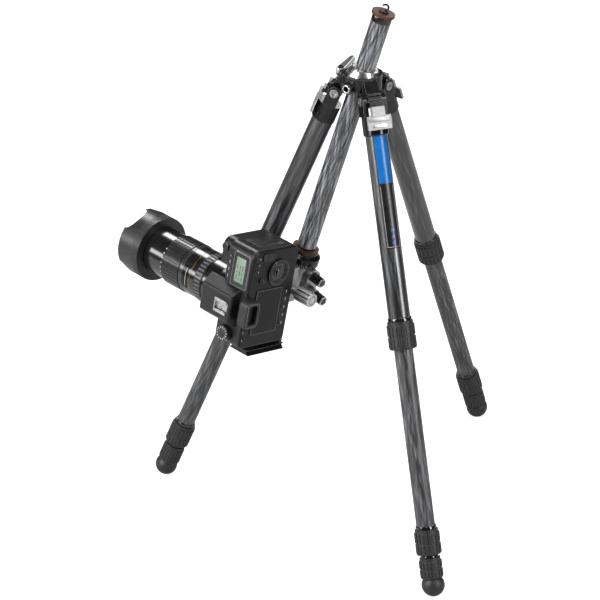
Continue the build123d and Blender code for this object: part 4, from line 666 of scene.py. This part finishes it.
# Mode dial: marks and a cap on its top
MODE_DIAL = (-43, -27)
MODE_MARKS = 14
MODE_RADIUS = 8.9
MODE_TOP = 54.9
dial_marks = []
for step in range(MODE_MARKS):
    angle = 360 / MODE_MARKS * step
    x = MODE_DIAL[0] + MODE_RADIUS * math.cos(math.radians(angle))
    y = MODE_DIAL[1] + MODE_RADIUS * math.sin(math.radians(angle))
    dial_marks.append(pad_shape((x, y), (2.6, 1.3), corner=0.4, low=MODE_TOP, high=55.5, edge=0.1, turn=angle))
piece("mode_dial_marks", TOP, dial_marks, "mode_dial", "white")
cap = ((6.4, MODE_TOP), (6.2, 55.6), (5.4, 55.9), (1.2, 55.7))
turned("mode_dial_cap", TOP, cap, "mode_dial", "rubber", steps=40, centre=MODE_DIAL)

# Hot shoe: a middle contact and four small ones
contacts = [turned_shape(((1.9, 62.2), (1.9, 63.0), (1.5, 63.3), (0.4, 63.3)), 20, (0, -24))]
for spot in ((-4.6, -29), (4.6, -29), (-4.6, -19.5), (4.6, -19.5)):
    contacts.append(turned_shape(((1.0, 62.2), (1.0, 62.8), (0.7, 63.0), (0.2, 63.0)), 16, spot))
piece("shoe_contacts", TOP, contacts, "camera", "steel")

# Lens: distance window and scale, gold line, ring lines, painted highlights on the focus ribs, zoom marks,
# hood ridges
window = patch_shape(38.02, thick=0.5, low=77, high=88, start=62, end=118, steps=20)
piece("distance_window", LENS, [window], "camera", "screen")
scale = patch_shape(38.5, thick=0.08, low=80, high=80.8, start=68, end=112)
piece("distance_scale", LENS, [scale], "camera", "white")
gold_line = ((37.9, 71.9), (38.2, 72.0), (38.2, 72.6), (37.9, 72.7))
turned("gold_line", LENS, gold_line, "camera", "gold", steps=96, closed=True)
ring_lines = [
    turned_shape(((37.8, low), (38.3, low + 0.15), (38.3, low + 0.75), (37.8, low + 0.9)), 96, closed=True)
    for low in (89.6, 92.4, 95.2)
]
piece("ring_lines", LENS, ring_lines, "camera", "rib")
RIB_PITCH = 9
# Light grey strips on the tops of the focus ring's ribs: painted highlight
rib_highlights = [
    patch_shape(38.9, 0.4, 49.2, 60.8, RIB_PITCH * step + 2.4, RIB_PITCH * step + 6.6, steps=3)
    for step in range(360 // RIB_PITCH)
]
piece("focus_rib_highlights", LENS, rib_highlights, "focus_ring", "rib")
ZOOM_START, ZOOM_PITCH = 60, 11
zoom_marks = []
for step in range(7):
    middle = ZOOM_START + ZOOM_PITCH * step
    zoom_marks.append(patch_shape(39.02, 0.12, 133.1, 134.8, middle - 1.4, middle + 1.4, steps=1))
piece("zoom_marks", LENS, zoom_marks, "zoom_ring", "white")
RIDGE_START, RIDGE_PITCH = 178.0, 2.6
ridges = []
for step in range(5):
    low = RIDGE_START + RIDGE_PITCH * step
    ridge = ((49.9, low), (50.6, low + 0.5), (50.6, low + 1.1), (49.9, low + 1.6))
    ridges.append(turned_shape(ridge, 96, closed=True))
piece("hood_ridges", LENS, ridges, "hood", "satin")

# Bracket: screws along the plate's rear edge
screw = ((1.9, 49.8), (1.9, 50.5), (1.6, 50.8), (1.0, 50.8), (0.9, 50.4), (0.2, 50.3))
screws = [turned_shape(screw, 24, (x, -49)) for x in (46, 30, 14, -2, -18, -34, -50)]
piece("bracket_screws", CAMERA, screws, "camera", "steel")

# Clamp knob: dark strips of painted shade in the grooves between its grips, and a turned end
GROOVE_PITCH = 36
# Dark strips in the flutes: painted shade
groove_shades = [
    patch_shape(9.8, 0.7, 56.0, 83.2, GROOVE_PITCH * step - 3.2, GROOVE_PITCH * step + 3.2, steps=3)
    for step in range(360 // GROOVE_PITCH)
]
piece("clamp_knob_groove_shade", SCREW, groove_shades, "clamp_knob", "black_metal")
end = ((7.6, 83.6), (7.4, 84.3), (6.6, 84.5), (5.4, 84.4), (5.0, 83.9), (4.8, 83.6))
turned("clamp_knob_end", SCREW, end, "clamp_knob", "gunmetal", steps=40, closed=True)


# Stage: pale floor, white world, soft lights and the photograph's camera, in metres

FLOOR_HALF = 30
# Floor's glow where the camera sees it: near the tripod, far off, and its rise in a metre from 0 to 1
GLOW_NEAR, GLOW_FAR, GLOW_RISE = 0.70, 1.0, 0.3
# World's strength as light, and where it is seen
WORLD_LIGHT, WORLD_SEEN = 0.05, 1.0


def studio_floor():
    """Pale floor that keeps the object's soft shadow and goes over to white with distance."""
    mesh = bpy.data.meshes.new("floor")
    corners = [(FLOOR_HALF * x, FLOOR_HALF * y, 0) for x, y in ((-1, -1), (1, -1), (1, 1), (-1, 1))]
    mesh.from_pydata(corners, [], [(0, 1, 2, 3)])
    made, tree, shader = new_material("floor")
    coordinates = tree.nodes.new("ShaderNodeTexCoord").outputs["Object"]
    tone = add_noise(tree, coordinates, 3.0, 2.0)
    stops = ((0.2, grey(0.50)), (0.8, grey(0.54)))
    tree.links.new(add_ramp(tree, tone, stops), shader.inputs["Base Color"])
    shader.inputs["Roughness"].default_value = 0.9
    shader.inputs["Specular IOR Level"].default_value = 0.0
    shader.inputs["Emission Color"].default_value = (1, 1, 1, 1)
    path = tree.nodes.new("ShaderNodeLightPath")
    reach = tree.nodes.new("ShaderNodeVectorMath")
    reach.operation = "LENGTH"
    tree.links.new(coordinates, reach.inputs[0])
    far = add_math(tree, "MULTIPLY", reach.outputs["Value"], GLOW_RISE)
    glow = add_range(tree, far, GLOW_NEAR, GLOW_FAR)
    seen = add_math(tree, "MULTIPLY", path.outputs["Is Camera Ray"], glow)
    tree.links.new(seen, shader.inputs["Emission Strength"])
    mesh.materials.append(made)
    floor = bpy.data.objects.new("floor", mesh)
    bpy.context.scene.collection.objects.link(floor)


def studio_world():
    """Soft white surround: plain white where it is seen, dimmer as light."""
    world = bpy.data.worlds.new("studio")
    bpy.context.scene.world = world
    world.use_nodes = True
    tree = world.node_tree
    tree.nodes.clear()
    output = tree.nodes.new("ShaderNodeOutputWorld")
    back = tree.nodes.new("ShaderNodeBackground")
    path = tree.nodes.new("ShaderNodeLightPath")
    seen = add_math(tree, "MAXIMUM", path.outputs["Is Camera Ray"], path.outputs["Is Transmission Ray"])
    back.inputs["Color"].default_value = (1, 1, 1, 1)
    tree.links.new(add_range(tree, seen, WORLD_LIGHT, WORLD_SEEN), back.inputs["Strength"])
    tree.links.new(back.outputs["Background"], output.inputs["Surface"])


def soft_light(name, spot, aim, size, power):
    """Rectangular area light aimed at a point, its second side the upright one."""
    data = bpy.data.lights.new(name, "AREA")
    data.shape = "RECTANGLE"
    data.size, data.size_y = size
    data.energy = power
    made = bpy.data.objects.new(name, data)
    made.location = Vector(spot) + AXIS
    way = Vector(aim) + AXIS - made.location
    made.rotation_euler = way.to_track_quat("-Z", "Y").to_euler()
    bpy.context.scene.collection.objects.link(made)


studio_floor()
studio_world()
soft_light("key", (-2.0, -1.7, 1.7), (-0.05, 0, 0.4), (1.1, 2.2), 130)
soft_light("fill", (2.3, -1.2, 1.6), (0, 0, 0.4), (0.8, 2.2), 80)
soft_light("top", (0.1, -0.2, 3.0), (0, 0, 0.4), (1.0, 1.0), 28)
soft_light("rim", (0.7, 2.1, 1.8), (0, 0, 0.5), (1.0, 1.4), 20)
# Two lights that show as bands along the lens
LENS_MIDDLE = (-0.26, -0.02, 0.38)
soft_light("strip", (-0.9, 1.45, 1.95), LENS_MIDDLE, (0.5, 1.0), 22)
soft_light("side", (-2.5, -0.6, 0.95), LENS_MIDDLE, (0.5, 0.5), 10)

# Camera: the photograph's own view, found in a frame turned by PHOTO_TURN from the model's
PHOTO_TURN = math.radians(8.9)
PHOTO_SPOT = Vector((0, -3.42078, 2.10627))
PHOTO_RIGHT = Vector((0.99968, 0.02532, -0.0019))
PHOTO_UP = Vector((-0.00997, 0.46033, 0.88769))
FOCAL_PIXELS = 2582.2
PHOTO_PIXELS = 600
SENSOR = 36.0
spin = Matrix.Rotation(PHOTO_TURN, 4, "Z")
look = Matrix((PHOTO_RIGHT, PHOTO_UP, PHOTO_RIGHT.cross(PHOTO_UP))).transposed().to_4x4()
look.translation = PHOTO_SPOT
camera_data = bpy.data.cameras.new("photo_camera")
camera_data.sensor_width = SENSOR
camera_data.lens = FOCAL_PIXELS * SENSOR / PHOTO_PIXELS
camera_data.clip_start = 0.1
camera_data.clip_end = 100
camera = bpy.data.objects.new("photo_camera", camera_data)
bpy.context.scene.collection.objects.link(camera)
camera.matrix_world = Matrix.Translation(AXIS) @ spin @ look
bpy.context.scene.camera = camera
bpy.context.scene.view_settings.view_transform = "Standard"
